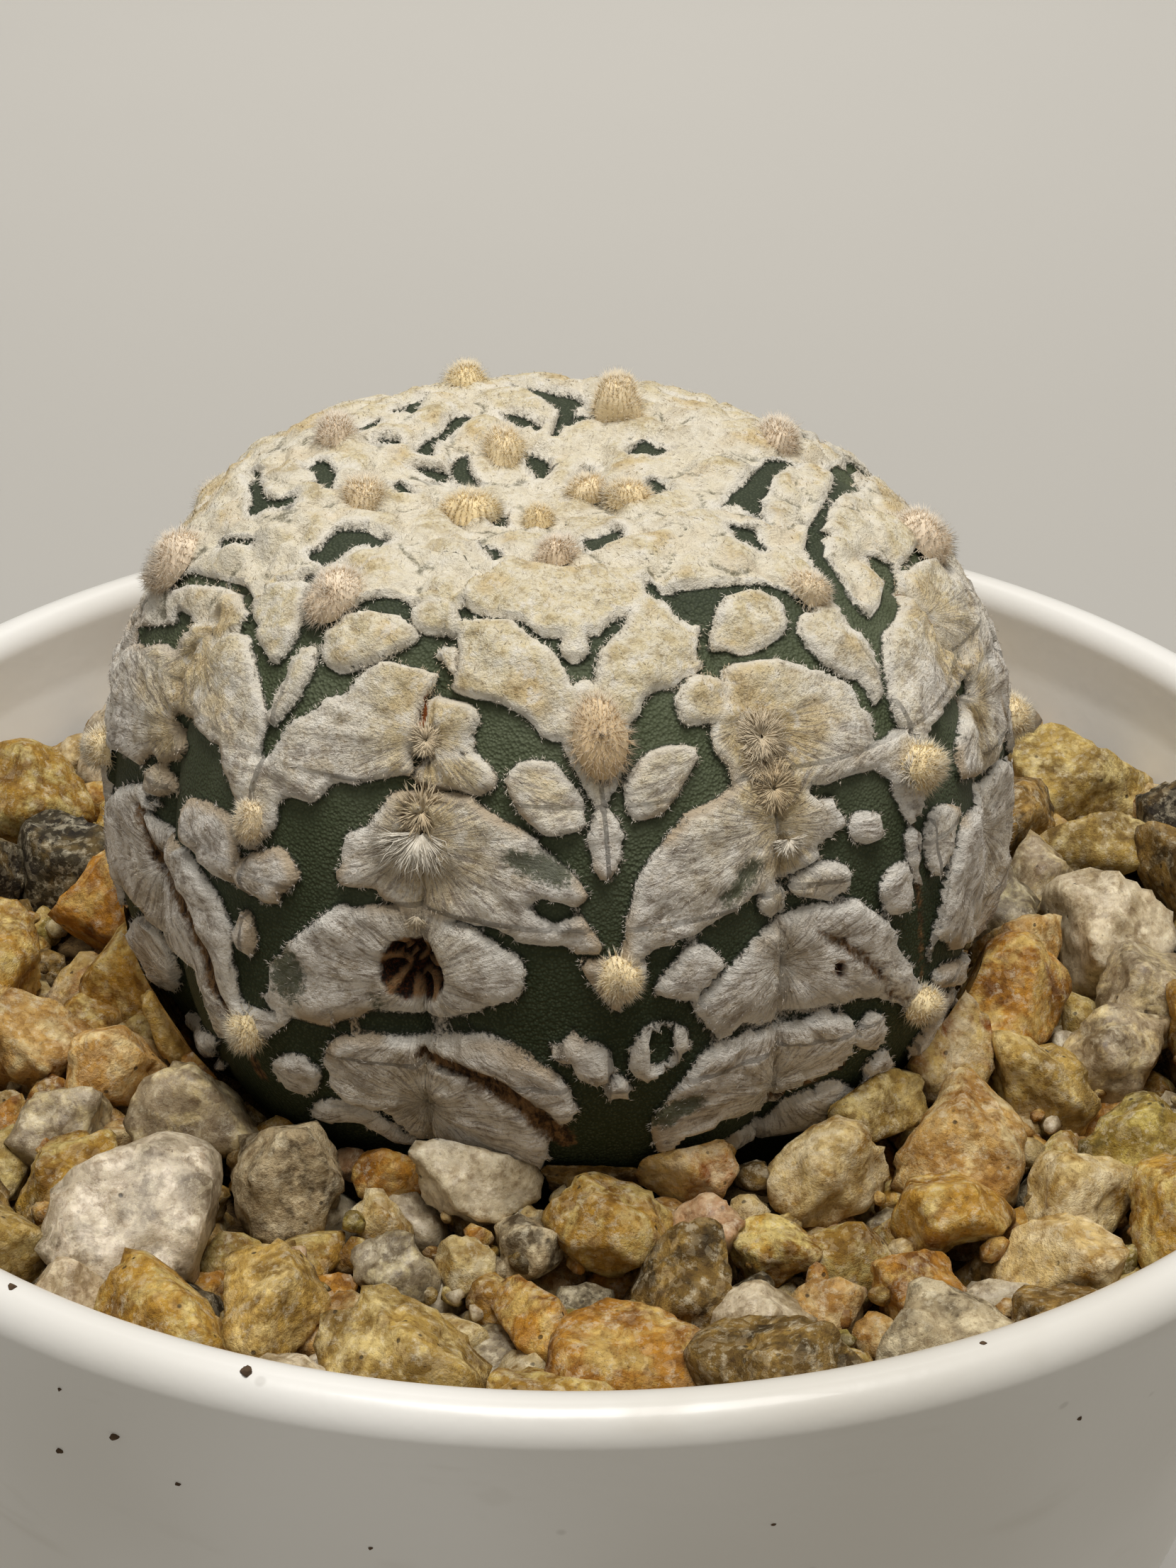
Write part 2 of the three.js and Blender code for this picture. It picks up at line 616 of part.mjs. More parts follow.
function rootPoint(azimuth, radius, height) {
  const turn = degrees(azimuth);
  return new THREE.Vector3(
    bodyCentre.x + radius * Math.sin(turn),
    bodyCentre.y - radius * Math.cos(turn),
    bodyCentre.z + height,
  );
}

// The corners of the body's facets, where a place of the grid has one as felt, one as bare
// skin, or both
class Corners {
  positions = [];

  ids = new Map();

  add(point) {
    return this.positions.push(...point) / 3 - 1;
  }

  at(place, isFelt) {
    const key = `${keyOf(...place)}_${isFelt}`;
    if (!this.ids.has(key)) {
      const distance = place.every(Number.isInteger) ? sampleAt(place) : 0;
      const lift = isFelt ? feltLift(distance) : 0;
      this.ids.set(key, this.add(raisedPoint(...gridPlace(...place), lift)));
    }
    return this.ids.get(key);
  }
}

// Facets of the felt and of the bare skin, and the steps between them
function feltFacets(corners) {
  const felt = [];
  const bare = [];
  for (const cell of netCells()) {
    const feltLoops = cellLoops(cell, true);
    const bareLoops = cellLoops(cell, false);
    const kept = keptKeys(cell, [...feltLoops, ...bareLoops]);
    const thinned = (loops) => loops
      .map((loop) => loop.filter((place) => kept.has(keyOf(...place))))
      .filter((loop) => loop.length > 2);
    felt.push(...filledLoops(cell, thinned(feltLoops)));
    bare.push(...filledLoops(cell, thinned(bareLoops)));
  }
  const nameOf = (start, end) => `${keyOf(...start)}>${keyOf(...end)}`;
  const bareEdges = new Set(edgesOf(bare).map(([start, end]) => nameOf(start, end)));
  const steps = edgesOf(felt)
    .filter(([start, end]) => bareEdges.has(nameOf(end, start)))
    .flatMap(([start, end]) => {
      const [topStart, topEnd] = [corners.at(start, true), corners.at(end, true)];
      const [footStart, footEnd] = [corners.at(start, false), corners.at(end, false)];
      return [topEnd, topStart, footStart, topEnd, footStart, footEnd];
    });
  return [
    ...felt.flat().map((place) => corners.at(place, true)),
    ...bare.flat().map((place) => corners.at(place, false)),
    ...steps,
  ];
}

// Runs of vertices, one a rib, each carried on to the first vertex of the next run
const closedRing = (runs) => runs.map((run, rib) => [...run, neighbour(runs, rib)[0]]);

function undersideRing(corners, polar) {
  return closedRing(ribGrooves.map((start, rib) => {
    const arc = degrees(ribWidths[rib]) * outlineRadius(polar);
    const cells = Math.max(1, Math.round(arc / undersideSpacing));
    return Array.from({ length: cells }, (unused, cell) => {
      const azimuth = start + ribWidths[rib] * cell / cells;
      return corners.add(bodyPoint(azimuth, polar));
    });
  }));
}

const rootRing = (corners, step) => closedRing(ribGrooves
  .map((azimuth) => [corners.add(rootPoint(azimuth, ...step))]));

const gridRing = (corners, { columns }, row, isFelt) => ribGrooves
  .map((start, rib) => [...columns, ribColumns]
    .map((column) => corners.at([rib * ribColumns + column, row], isFelt)));

// Facets of the crown's middle, the underside and the root
function ringFacets(corners) {
  const pole = corners.add(raisedPoint(0, 0, feltLift(-pillowWidth)));
  const tip = corners.add(rootPoint(0, 0, rootTip));
  const crown = [
    ribGrooves.map(() => [pole]),
    gridRing(corners, crownCells, crownCells.rows[0], true),
  ];
  const under = [
    gridRing(corners, sideCells, lastRow, false),
    ...undersideDegrees.map((polar) => undersideRing(corners, polar)),
    ...rootSteps.map((step) => rootRing(corners, step)),
    ribGrooves.map(() => [tip]),
  ];
  return [crown, under].flatMap((rings) => rings.slice(1)
    .flatMap((lower, index) => lower.flatMap((run, rib) => stitched(rings[index][rib], run)))).flat();
}

function makeBody() {
  const corners = new Corners();
  const index = [...feltFacets(corners), ...ringFacets(corners)];
  const geometry = new THREE.BufferGeometry();
  geometry.setAttribute("position", new THREE.Float32BufferAttribute(corners.positions, 3));
  geometry.setIndex(index);
  return geometry;
}

// A woolly tuft is a round dome on a straight foot that is sunk in the body
function makeTuft(azimuth, polar, radius, height) {
  const dome = tuftDome.map(([reach, rise]) => new THREE.Vector2(reach * radius, rise * height));
  const foot = [new THREE.Vector2(0, -tuftDepth), new THREE.Vector2(radius, -tuftDepth)];
  const tuft = new THREE.LatheGeometry([...foot, ...dome], tuftSides).rotateX(Math.PI / 2);
  const normal = bodyNormal(azimuth, polar);
  const upright = new THREE.Vector3(0, 0, 1);
  tuft.applyQuaternion(new THREE.Quaternion().setFromUnitVectors(upright, normal));
  return tuft.translate(...raisedPoint(azimuth, polar, feltEdge));
}

function makeTufts() {
  const onRibs = ribPatterns.flatMap(([, wool, mirrored], rib) => wool
    .map(([across, polar, radius, height]) => {
      const side = mirrored ? -across : across;
      const azimuth = ribGrooves[rib] + ribWidths[rib] * (1 + side) / 2;
      return makeTuft(azimuth, polar, radius, height);
    }));
  return [...onRibs, ...crownWool.map((wool) => makeTuft(...wool))];
}

const makeCactus = () => geometryOf(joined([makeBody(), ...makeTufts()].map(solidOf)));

// The plant's widest outline with a gap round it, which the fill is cut back to
function plantClearance() {
  const spread = feltEdge + feltPillow + touchGap;
  const profile = [[0, rootTip - touchGap]];
  for (const [radius, height] of [...rootSteps].reverse()) {
    profile.push([radius + touchGap, height - touchGap]);
  }
  for (const polar of [...clearanceDegrees].reverse()) {
    profile.push([outlineRadius(polar) + spread, outlineHeight(polar)]);
  }
  const top = profile.at(-1);
  profile.push([top[0], upperHeight], [0, upperHeight]);
  return turned(profile).translate(bodyCentre.x, bodyCentre.y, bodyCentre.z);
}

// The inside of the pot up to the rim, with a gap all round
function potInside(bottom) {
  return turned([
    [0, bottom],
    [innerRadius(bottom) - touchGap, bottom],
    [innerRadius(lipHeight - lipThickness) - touchGap, lipHeight - lipThickness],
    [innerRadius(lipHeight - lipThickness) - touchGap, potHeight],
    [0, potHeight],
  ]);
}

function makeSoil() {
  const bottom = floorTop + touchGap;
  const column = solidOf(turned([
    [0, bottom],
    [innerRadius(bottom) - floorFillet - touchGap, bottom],
    [innerRadius(bottom + floorFillet) - touchGap, bottom + floorFillet],
    [innerRadius(soilTop) - touchGap, soilTop],
    [0, soilTop],
  ]));
  return geometryOf(column.subtract(solidOf(plantClearance())));
}

// Stones in view at the front, as [x, y, radius, length over width]
const frontStones = [
  [-15.8, -19.6, 3.3, 1.2],
  [-10.4, -16, 2.4, 1.1],
  [-14.5, -12.7, 2.2, 1],
  [-19.5, -12.3, 1.8, 1.1],
  [-6.5, -15.8, 1.2, 0.8],
  [-3.6, -16.9, 2.1, 1.1],
  [1, -15.6, 1.5, 1.5],
  [4.9, -15.9, 1.6, 1.3],
  [9.8, -16, 2, 1.1],
  [15.6, -14, 2.7, 1.1],
  [22.2, -13.7, 2.1, 1],
  [18.4, -20.4, 2.1, 1.3],
  [1.8, -19.2, 1.9, 1],
  [5.4, -18.9, 1.3, 1],
  [7.8, -19.6, 1.4, 1],
  [-1, -23.8, 1.5, 1.7],
  [-1.3, -19.8, 1.4, 1],
  [-10.3, -23.2, 2.1, 1.1],
  [-3.8, -20.4, 1, 1],
  [-6.2, -20.6, 1.4, 1],
  [6.9, -24, 1.8, 0.9],
  [12.6, -21.7, 1.6, 1.2],
  [-17.6, -8.8, 1.9, 1],
  [19, -9.3, 2.1, 1.4],
];
const stoneRandom = seededRandom(stoneSeed);

function makeStone([x, y, radius, stretch]) {
  const chip = new THREE.IcosahedronGeometry(1, 0);
  chip.deleteAttribute("normal");
  chip.deleteAttribute("uv");
  const stone = mergeVertices(chip);
  const corners = stone.attributes.position;
  for (let corner = 0; corner < corners.count; corner += 1) {
    const reach = 1 + eitherWay(stoneRandom) * stoneRoughness;
    const place = new THREE.Vector3().fromBufferAttribute(corners, corner).multiplyScalar(reach);
    corners.setXYZ(corner, ...place);
  }
  stone.rotateZ(stoneRandom() * 2 * Math.PI);
  const width = radius * stoneSwell;
  stone.scale(width * Math.sqrt(stretch), width / Math.sqrt(stretch), width * stoneFlatness);
  stone.rotateX(eitherWay(stoneRandom) * stoneTilt);
  stone.rotateY(eitherWay(stoneRandom) * stoneTilt);
  stone.translate(x, y, bedTop + radius * stoneRise);
  return stone;
}

// Larger stones are tried first, and smaller ones fill the room that is left
function scatterStones() {
  const stones = [...frontStones];
  const inner = bodyRadius - plantOverlap;
  for (let attempt = 0; attempt < stoneTries; attempt += 1) {
    const share = (attempt / stoneTries) ** smallStoneBias;
    const radius = THREE.MathUtils.lerp(largeStone, smallStone, share);
    const outer = innerRadius(bedTop) - radius * (1 - wallOverlap);
    const reach = Math.sqrt(THREE.MathUtils.lerp(inner ** 2, outer ** 2, stoneRandom()));
    const turn = stoneRandom() * 2 * Math.PI;
    const [x, y] = [reach * Math.cos(turn), reach * Math.sin(turn)];
    const isFree = stones.every((other) => Math.hypot(x - other[0], y - other[1])
      > stoneSpacing * (radius + other[2]));
    if (isFree) stones.push([x, y, radius, 1 + stoneRandom() * stoneStretch]);
  }
  return stones;
}

function makeGrit() {
  const bottom = soilTop + touchGap;
  const bed = solidOf(turned([
    [0, bottom],
    [innerRadius(bottom) - touchGap, bottom],
    [innerRadius(bedTop) - touchGap, bedTop],
    [0, bedTop],
  ]));
  const heap = joined([bed, ...scatterStones().map((stone) => solidOf(makeStone(stone)))]);
  return geometryOf(heap.intersect(solidOf(potInside(bottom))).subtract(solidOf(plantClearance())));
}

const pottedCactus = new THREE.Group();
pottedCactus.add(
  namedMesh("pot", makePot(), 0xf2f1ee, 0.38),
  namedMesh("potting_mix", makeSoil(), 0x3a2a1e, 0.95),
  namedMesh("grit", makeGrit(), 0xb89a6a, 0.8),
  namedMesh("cactus", makeCactus(), 0x8f937f, 0.85),
);

export default pottedCactus;
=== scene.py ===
import math

import bmesh
import bpy
import numpy as np
from mathutils import Matrix, Vector


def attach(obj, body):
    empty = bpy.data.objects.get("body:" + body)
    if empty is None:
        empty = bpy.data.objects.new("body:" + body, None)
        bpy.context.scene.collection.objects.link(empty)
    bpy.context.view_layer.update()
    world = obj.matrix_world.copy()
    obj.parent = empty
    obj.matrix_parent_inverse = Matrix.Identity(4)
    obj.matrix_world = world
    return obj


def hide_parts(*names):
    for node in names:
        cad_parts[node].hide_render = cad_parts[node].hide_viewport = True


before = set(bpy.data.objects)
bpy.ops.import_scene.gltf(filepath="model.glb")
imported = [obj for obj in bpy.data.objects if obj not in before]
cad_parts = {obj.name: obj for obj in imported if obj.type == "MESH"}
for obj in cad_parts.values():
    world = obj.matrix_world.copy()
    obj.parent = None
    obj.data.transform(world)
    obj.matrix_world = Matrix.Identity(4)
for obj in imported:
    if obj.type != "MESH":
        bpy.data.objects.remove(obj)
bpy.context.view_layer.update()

# A super kabuto star cactus in a plain white pot. Lengths are in millimetres until a mesh is
# made. The pot stands on z = 0, and the side in the photograph faces -Y.
mm = 0.001
fullTurn = 360


def shade(code):
    # a colour as shaders want it, from the six digits of a screen colour
    screen = [int(code[place:place + 2], 16) / 255 for place in (0, 2, 4)]
    return (*[part / 12.92 if part <= 0.04045 else ((part + 0.055) / 1.055) ** 2.4
              for part in screen], 1)


class Socket:
    # one output of a shader node; an expression on it adds Math nodes
    def __init__(self, finish, link):
        self.finish = finish
        self.link = link

    def maths(self, operation, *values):
        return self.finish.node("Math", {"operation": operation}, values)

    def __add__(self, other):
        return self.maths("ADD", self, other)

    def __sub__(self, other):
        return self.maths("SUBTRACT", self, other)

    def __rsub__(self, other):
        return self.maths("SUBTRACT", other, self)

    def __mul__(self, other):
        return self.maths("MULTIPLY", self, other)

    __radd__ = __add__
    __rmul__ = __mul__


class Finish:
    # a procedural material; what is the same all over is set on the shader's own sockets
    def __init__(self, name, constants):
        self.material = bpy.data.materials.new(name)
        self.material.use_nodes = True
        self.tree = self.material.node_tree
        self.shader = self.tree.nodes["Principled BSDF"]
        for socket, value in constants.items():
            self.shader.inputs[socket].default_value = value

    def feed(self, socket, value):
        if isinstance(value, Socket):
            self.tree.links.new(value.link, socket)
        else:
            socket.default_value = value

    def node(self, kind, settings=None, values=(), output=0):
        # settings first, then the values or links of sockets by place or by name
        node = self.tree.nodes.new("ShaderNode" + kind)
        for name, value in (settings or {}).items():
            setattr(node, name, value)
        keyed = values.items() if isinstance(values, dict) else enumerate(values)
        for key, value in keyed:
            self.feed(node.inputs[key], value)
        return Socket(self, node.outputs[output])

    def place(self):
        # where a point is, in millimetres
        spot = self.node("TexCoord", output="Object")
        return self.node("VectorMath", {"operation": "SCALE"}, {0: spot, "Scale": 1 / mm})

    def field(self, name, output="Fac"):
        return self.node("Attribute", {"attribute_name": name}, output=output)

    def stretched(self, spot, scale):
        return self.node("VectorMath", {"operation": "MULTIPLY"}, {0: spot, 1: scale})

    def moved(self, spot, shift):
        return self.node("VectorMath", {"operation": "ADD"}, {0: spot, 1: shift})

    def noise(self, spot, size, detail=3, roughness=0.55, distortion=0):
        # smooth noise from 0 to 1 with lumps of that size
        return self.node("TexNoise", {}, {
            "Vector": spot, "Scale": 1 / size, "Detail": detail, "Roughness": roughness,
            "Distortion": distortion})

    def cells(self, spot, size, feature="F1", output="Distance"):
        return self.node("TexVoronoi", {"feature": feature},
                         {"Vector": spot, "Scale": 1 / size}, output)

    def rise(self, value, low, high):
        # 0 at low, 1 at high and smooth between them; low may be the larger
        return self.node("MapRange", {"interpolation_type": "SMOOTHSTEP"},
                         {"Value": value, "From Min": low, "From Max": high})

    def mixed(self, mask, low, high, blend="MIX"):
        return self.node("Mix", {"data_type": "RGBA", "blend_type": blend},
                         {0: mask, 6: low, 7: high}, 2)

    def give(self, name, value):
        self.feed(self.shader.inputs[name], value)

    def bump(self, height, depth):
        # a relief of that depth in millimetres for heights from 0 to 1
        self.give("Normal", self.node("Bump", {}, {"Height": height, "Distance": depth * mm,
                                                   "Strength": 1}, "Normal"))


def meshPiece(name, points, faces, fields=None):
    # faces is a list of arrays, each of faces with the same number of corners
    mesh = bpy.data.meshes.new(name)
    mesh.vertices.add(len(points))
    mesh.vertices.foreach_set("co", (np.asarray(points) * mm).astype(np.float32).ravel())
    loops = np.concatenate([np.asarray(part).ravel() for part in faces])
    sides = np.concatenate([np.full(len(part), np.shape(part)[1]) for part in faces])
    mesh.loops.add(len(loops))
    mesh.loops.foreach_set("vertex_index", loops.astype(np.int32))
    mesh.polygons.add(len(sides))
    mesh.polygons.foreach_set("loop_start", (np.cumsum(sides) - sides).astype(np.int32))
    mesh.update(calc_edges=True)
    mesh.shade_smooth()
    for field, values in (fields or {}).items():
        kind, key = ("FLOAT", "value") if np.ndim(values) == 1 else ("FLOAT_VECTOR", "vector")
        layer = mesh.attributes.new(field, kind, "POINT")
        layer.data.foreach_set(key, np.asarray(values, np.float32).ravel())
    piece = bpy.data.objects.new(name, mesh)
    bpy.context.scene.collection.objects.link(piece)
    return piece


def fitted(piece, finish, node):
    # the piece takes its finish, stands for a node and moves with the whole object
    piece.data.materials.append(finish.material)
    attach(piece, "root")
    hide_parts(node)
    return piece


def unit(vectors):
    return vectors / np.maximum(np.linalg.norm(vectors, axis=-1, keepdims=True), 1e-9)


def eased(value, low, high):
    # 0 at low, 1 at high and smooth between them
    share = np.clip((value - low) / (high - low), 0, 1)
    return share * share * (3 - 2 * share)


# Smooth noise for shapes, read from one block of random numbers
noiseBlock = np.random.default_rng(5).uniform(-1, 1, (48, 48, 48))


def lumps(points, size, seed=0):
    # from -1 to 1, with lumps of that size
    place = np.asarray(points) / size + seed * math.pi
    base = np.floor(place).astype(int)
    share = eased(place - base, 0, 1)
    total = np.zeros(place.shape[:-1])
    for corner in np.ndindex(2, 2, 2):
        index = (base + corner) % len(noiseBlock)
        weight = np.prod(np.where(corner, share, 1 - share), axis=-1)
        total += weight * noiseBlock[index[..., 0], index[..., 1], index[..., 2]]
    return total


def gridFaces(rows, columns, closed):
    # quads of a grid of places counted row by row; a closed one meets itself
    last = columns if closed else columns - 1
    row, column = np.meshgrid(np.arange(rows - 1), np.arange(last), indexing="ij")
    after = (column + 1) % columns
    corners = [row * columns + column, (row + 1) * columns + column,
               (row + 1) * columns + after, row * columns + after]
    return np.stack(corners, -1).reshape(-1, 4)


def frames(directions):
    # two directions square to each given one
    helper = np.where(np.abs(directions[:, 2:]) < 0.9, [[0, 0, 1]], [[1, 0, 0]])
    side = unit(np.cross(helper, directions))
    return side, np.cross(directions, side)


def strands(roots, directions, lengths, widths, bends=None):
    # Closed three-sided hairs that end in a point. With bends, each has a joint halfway,
    # and its upper half turns by that vector.
    count = len(roots)
    side, front = frames(directions)
    turns = np.arange(3) * 2 * math.pi / 3
    ring = (side[:, None] * np.cos(turns)[None, :, None]
            + front[:, None] * np.sin(turns)[None, :, None]) * (widths / 2)[:, None, None]
    levels = [roots[:, None] + ring]
    tip = roots + directions * lengths[:, None]
    if bends is not None:
        middle = roots + directions * (lengths / 2)[:, None]
        tip = middle + unit(directions + bends) * (lengths / 2)[:, None]
        levels.append(middle[:, None] + ring * 0.8)
    points = np.concatenate([*levels, tip[:, None]], 1)
    size = points.shape[1]
    base = [[2, 1, 0]]
    for level in range(len(levels) - 1):
        for corner in range(3):
            low, after = level * 3 + corner, level * 3 + (corner + 1) % 3
            base += [[low, after, after + 3], [low, after + 3, low + 3]]
    top = size - 4
    base += [[top + corner, top + (corner + 1) % 3, size - 1] for corner in range(3)]
    faces = np.arange(count)[:, None, None] * size + np.array(base)[None]
    rises = np.linspace(0, 1, len(levels) + 1)
    along = np.tile(np.repeat(rises, [3] * len(levels) + [1]), count)
    return points.reshape(-1, 3), faces.reshape(-1, 3), along


# Pot: a round tapered wall with a rolled lip, a foot ring and one drainage hole
pot = {
    "height": 60, "rimRadius": 35, "lipThickness": 2.3, "wallThickness": 2,
    "footRadius": 20, "footWidth": 3.2, "footHeight": 1.6, "footBevel": 0.8,
    "floorThickness": 2.4, "floorFillet": 2, "drainRadius": 4.5, "corner": 0.35,
    "sides": 192, "lipSteps": 24, "cornerSteps": 5,
    "white": "f3f1ec", "worn": "dcd8cf", "smudge": "c9c2b4",
}
lipRadius = pot["lipThickness"] / 2
lipHeight = pot["height"] - lipRadius
floorTop = pot["footHeight"] + pot["floorThickness"]


def outerRadius(height):
    share = (height - pot["footHeight"]) / (lipHeight - pot["footHeight"])
    return pot["footRadius"] + (pot["rimRadius"] - pot["footRadius"]) * share


def innerRadius(height):
    return outerRadius(height) - pot["wallThickness"]


def roundedProfile(corners, steps):
    # [radius, height, rounding] corners of a closed outline, with a curve at each
    outline = []
    for index, (radius, height, rounding) in enumerate(corners):
        here = np.array([radius, height])
        before = np.array(corners[index - 1][:2]) - here
        after = np.array(corners[(index + 1) % len(corners)][:2]) - here
        if rounding == 0:
            outline.append(here)
            continue
        start = here + before / np.linalg.norm(before) * rounding
        end = here + after / np.linalg.norm(after) * rounding
        for share in np.linspace(0, 1, steps):
            outline.append((1 - share) ** 2 * start + 2 * share * (1 - share) * here
                           + share ** 2 * end)
    return np.array(outline)


def turned(outline, sides):
    # a closed outline of [radius, height] points turned round the Z axis
    turns = np.arange(sides) * 2 * math.pi / sides
    points = np.stack([outline[:, :1] * np.cos(turns), outline[:, :1] * np.sin(turns),
                       np.repeat(outline[:, 1:], sides, 1)], -1)
    closed = np.concatenate([points, points[:1]])
    faces = gridFaces(len(closed), sides, True)[:, ::-1] % (len(outline) * sides)
    return points.reshape(-1, 3), faces


def potFinish():
    finish = Finish("satin_white_plastic", {"Roughness": 0.36, "Coat Weight": 0.15})
    spot = finish.place()
    low = finish.noise(finish.stretched(spot, (1, 1, 0.5)), 26, 2)
    smear = finish.rise(finish.noise(finish.stretched(spot, (1, 1, 2.5)), 9, 3, 0.6, 0.6), 0.58, 0.8)
    speck = finish.rise(finish.cells(spot, 4.5), 0.06, 0.03)
    tone = finish.mixed(finish.rise(low, 0.35, 0.7), shade(pot["white"]), shade(pot["worn"]))
    smeared = finish.mixed(smear * 0.3, tone, shade(pot["smudge"]))
    finish.give("Base Color", finish.mixed(speck * 0.2, smeared, shade("6e6250")))
    finish.give("Roughness", smear * 0.18 + finish.noise(spot, 1.2, 2) * 0.08 + 0.28)
    finish.bump(finish.noise(spot, 0.7, 2), 0.012)
    return finish


def makePot():
    turns = np.linspace(0, math.pi, pot["lipSteps"])
    lip = [[pot["rimRadius"] - lipRadius + lipRadius * math.cos(turn),
            lipHeight + lipRadius * math.sin(turn), 0] for turn in turns]
    inside = pot["footRadius"] - pot["footWidth"]
    corner = pot["corner"]
    under = lipHeight - pot["lipThickness"]
    corners = [
        [pot["drainRadius"], pot["footHeight"], corner],
        [inside, pot["footHeight"], corner],
        [inside, 0, corner],
        [pot["footRadius"] - pot["footBevel"], 0, corner],
        [pot["footRadius"], pot["footHeight"], corner],
        *lip,
        [innerRadius(under), under, corner],
        [innerRadius(floorTop), floorTop, pot["floorFillet"]],
        [pot["drainRadius"], floorTop, corner],
    ]
    points, faces = turned(roundedProfile(corners, pot["cornerSteps"]), pot["sides"])
    return fitted(meshPiece("pot_shell", points, [faces]), potFinish(), "pot")


# Plant: a ribbed globe with a sunken crown; azimuth 0 faces -Y and grows towards +X
plant = {
    "grooves": [-61.6, -16.6, 28.4, 73, 109, 141, 174, 215, 260],
    "radius": 18.1, "centre": (-0.3, 0.4, 61.8), "upperHeight": 17.4, "lowerHeight": 15.5,
    "upperFullness": 0.88, "upperFlatness": 0.72, "lowerFullness": 1.03,
    "crownShift": (-1.75, -2.2), "crownDip": 2.5, "crownDipAngle": 21,
    "grooveDepth": 1.4, "grooveSharpness": 0.62, "usualRibWidth": 45,
    "frontRibs": 3, "patternSeed": 11, "patternShift": 0.05, "patternDegrees": 1.4,
    "degreeLength": 0.33, "tracedFrom": -80, "tracedTo": 84, "tracedBlend": 3,
    "feltEdge": 0.36, "feltPillow": 0.12, "pillowWidth": 0.9, "edgeSlope": 0.1,
}
grooves = np.array(plant["grooves"])
ribWidths = np.diff([*grooves, grooves[0] + fullTurn])
reach = 3.2  # how far from a stroke its distance is worked out


def placeOnRib(azimuth):
    # the rib's number and how far across it a place is, from 0 to 1
    turn = grooves[0] + (azimuth - grooves[0]) % fullTurn
    rib = np.clip(np.searchsorted(grooves, turn, "right") - 1, 0, len(grooves) - 1)
    return rib, (turn - grooves[rib]) / ribWidths[rib]


def outlineRadius(polar):
    fullness = np.where(polar < 90, plant["upperFullness"], plant["lowerFullness"])
    return plant["radius"] * np.sin(np.radians(polar)) ** fullness


def outlineHeight(polar):
    cosine = np.cos(np.radians(polar))
    dip = plant["crownDip"] * np.exp(-(polar / plant["crownDipAngle"]) ** 2)
    upper = plant["upperHeight"] * np.clip(cosine, 0, 1) ** plant["upperFlatness"] - dip
    return np.where(polar > 90, plant["lowerHeight"] * cosine, upper)


def bodyPoint(azimuth, polar):
    angle, turn = np.radians(polar), np.radians(azimuth)
    rib, share = placeOnRib(azimuth)
    ridge = np.sin(math.pi * share) ** plant["grooveSharpness"]
    radius = outlineRadius(polar) - plant["grooveDepth"] * np.sin(angle) * (1 - ridge)
    lean = np.clip(np.cos(angle), 0, 1) ** 3
    x, y, z = plant["centre"]
    return np.stack([x + plant["crownShift"][0] * lean + radius * np.sin(turn),
                     y + plant["crownShift"][1] * lean - radius * np.cos(turn),
                     z + outlineHeight(polar)], -1)


def bodyNormal(azimuth, polar):
    low = np.maximum(polar - 1, 0.5)
    along = bodyPoint(azimuth, low + 2) - bodyPoint(azimuth, low)
    across = bodyPoint(azimuth + 2, low + 2) - bodyPoint(azimuth - 2, low + 2)
    return unit(np.cross(along, across))


# Felt of the ribs behind, as strokes of [across the rib from -1 to 1, degrees down, half width]
middleFelt = [
    [[0.03, 33, 0.5], [0.02, 37.5, 0.5]],
    [[-0.92, 40, 1.35], [-0.5, 42, 1.5], [-0.2, 46, 1.35], [0.02, 51, 1.05], [0.04, 57.5, 0.65]],
    [[0.9, 38.5, 1.3], [0.5, 40, 1.5], [0.27, 45, 1.2], [0.06, 50.5, 0.95]],
    [[-0.86, 50.5, 0.8], [-0.86, 55, 0.8]],
    [[-0.95, 60, 0.9], [-0.72, 60, 0.9]],
    [[0.85, 47.5, 0.95], [0.9, 50.5, 0.8]],
    [[0.97, 52, 0.8], [0.95, 60, 0.8]],
    [[-0.38, 58, 1], [-0.22, 62, 0.95]],
    [[0.5, 56.5, 0.9], [0.33, 61.5, 0.9]],
    [[0.05, 61, 0.3], [0.05, 65, 0.6], [0.02, 69.5, 0.4]],
    [[-0.95, 69, 1.85], [-0.5, 70.5, 1.75], [-0.3, 71.5, 1.35], [-0.08, 72.5, 0.7]],
    [[-0.6, 76, 1.05], [-0.3, 78, 0.7], [-0.05, 80, 0.65], [0.03, 83, 0.8], [0.05, 86, 0.25]],
    [[0.95, 67.5, 2.1], [0.6, 70, 1.75], [0.35, 74, 1.35], [0.18, 78.5, 0.95], [0.06, 83, 0.7]],
    [[-0.97, 83.3, 1.1], [-0.55, 83.3, 1.05]],
    [[0.34, 84.5, 0.5], [0.5, 81.8, 0.7]],
    [[1.0, 84, 1.3], [0.75, 85, 1.1], [0.52, 86.8, 0.55]],
    [[-0.28, 87.8, 0.4], [-0.12, 89.5, 0.7], [0, 91, 0.4]],
    [[0.05, 93, 0.4]],
    [[0.25, 89, 0.9], [0.31, 87.8, 0.9]],
    [[-0.95, 94, 1.45], [-0.6, 94.5, 1.45], [-0.35, 97.5, 1.05], [-0.2, 101, 0.65]],
    [[0.97, 94.5, 1.6], [0.6, 96.5, 1.45], [0.4, 100.5, 0.95], [0.3, 104, 0.5]],
    [[-0.95, 104, 1.05], [-0.6, 105, 0.95], [-0.45, 109, 0.65]],
    [[0.95, 106.5, 0.55], [0.65, 109.5, 0.5]],
]
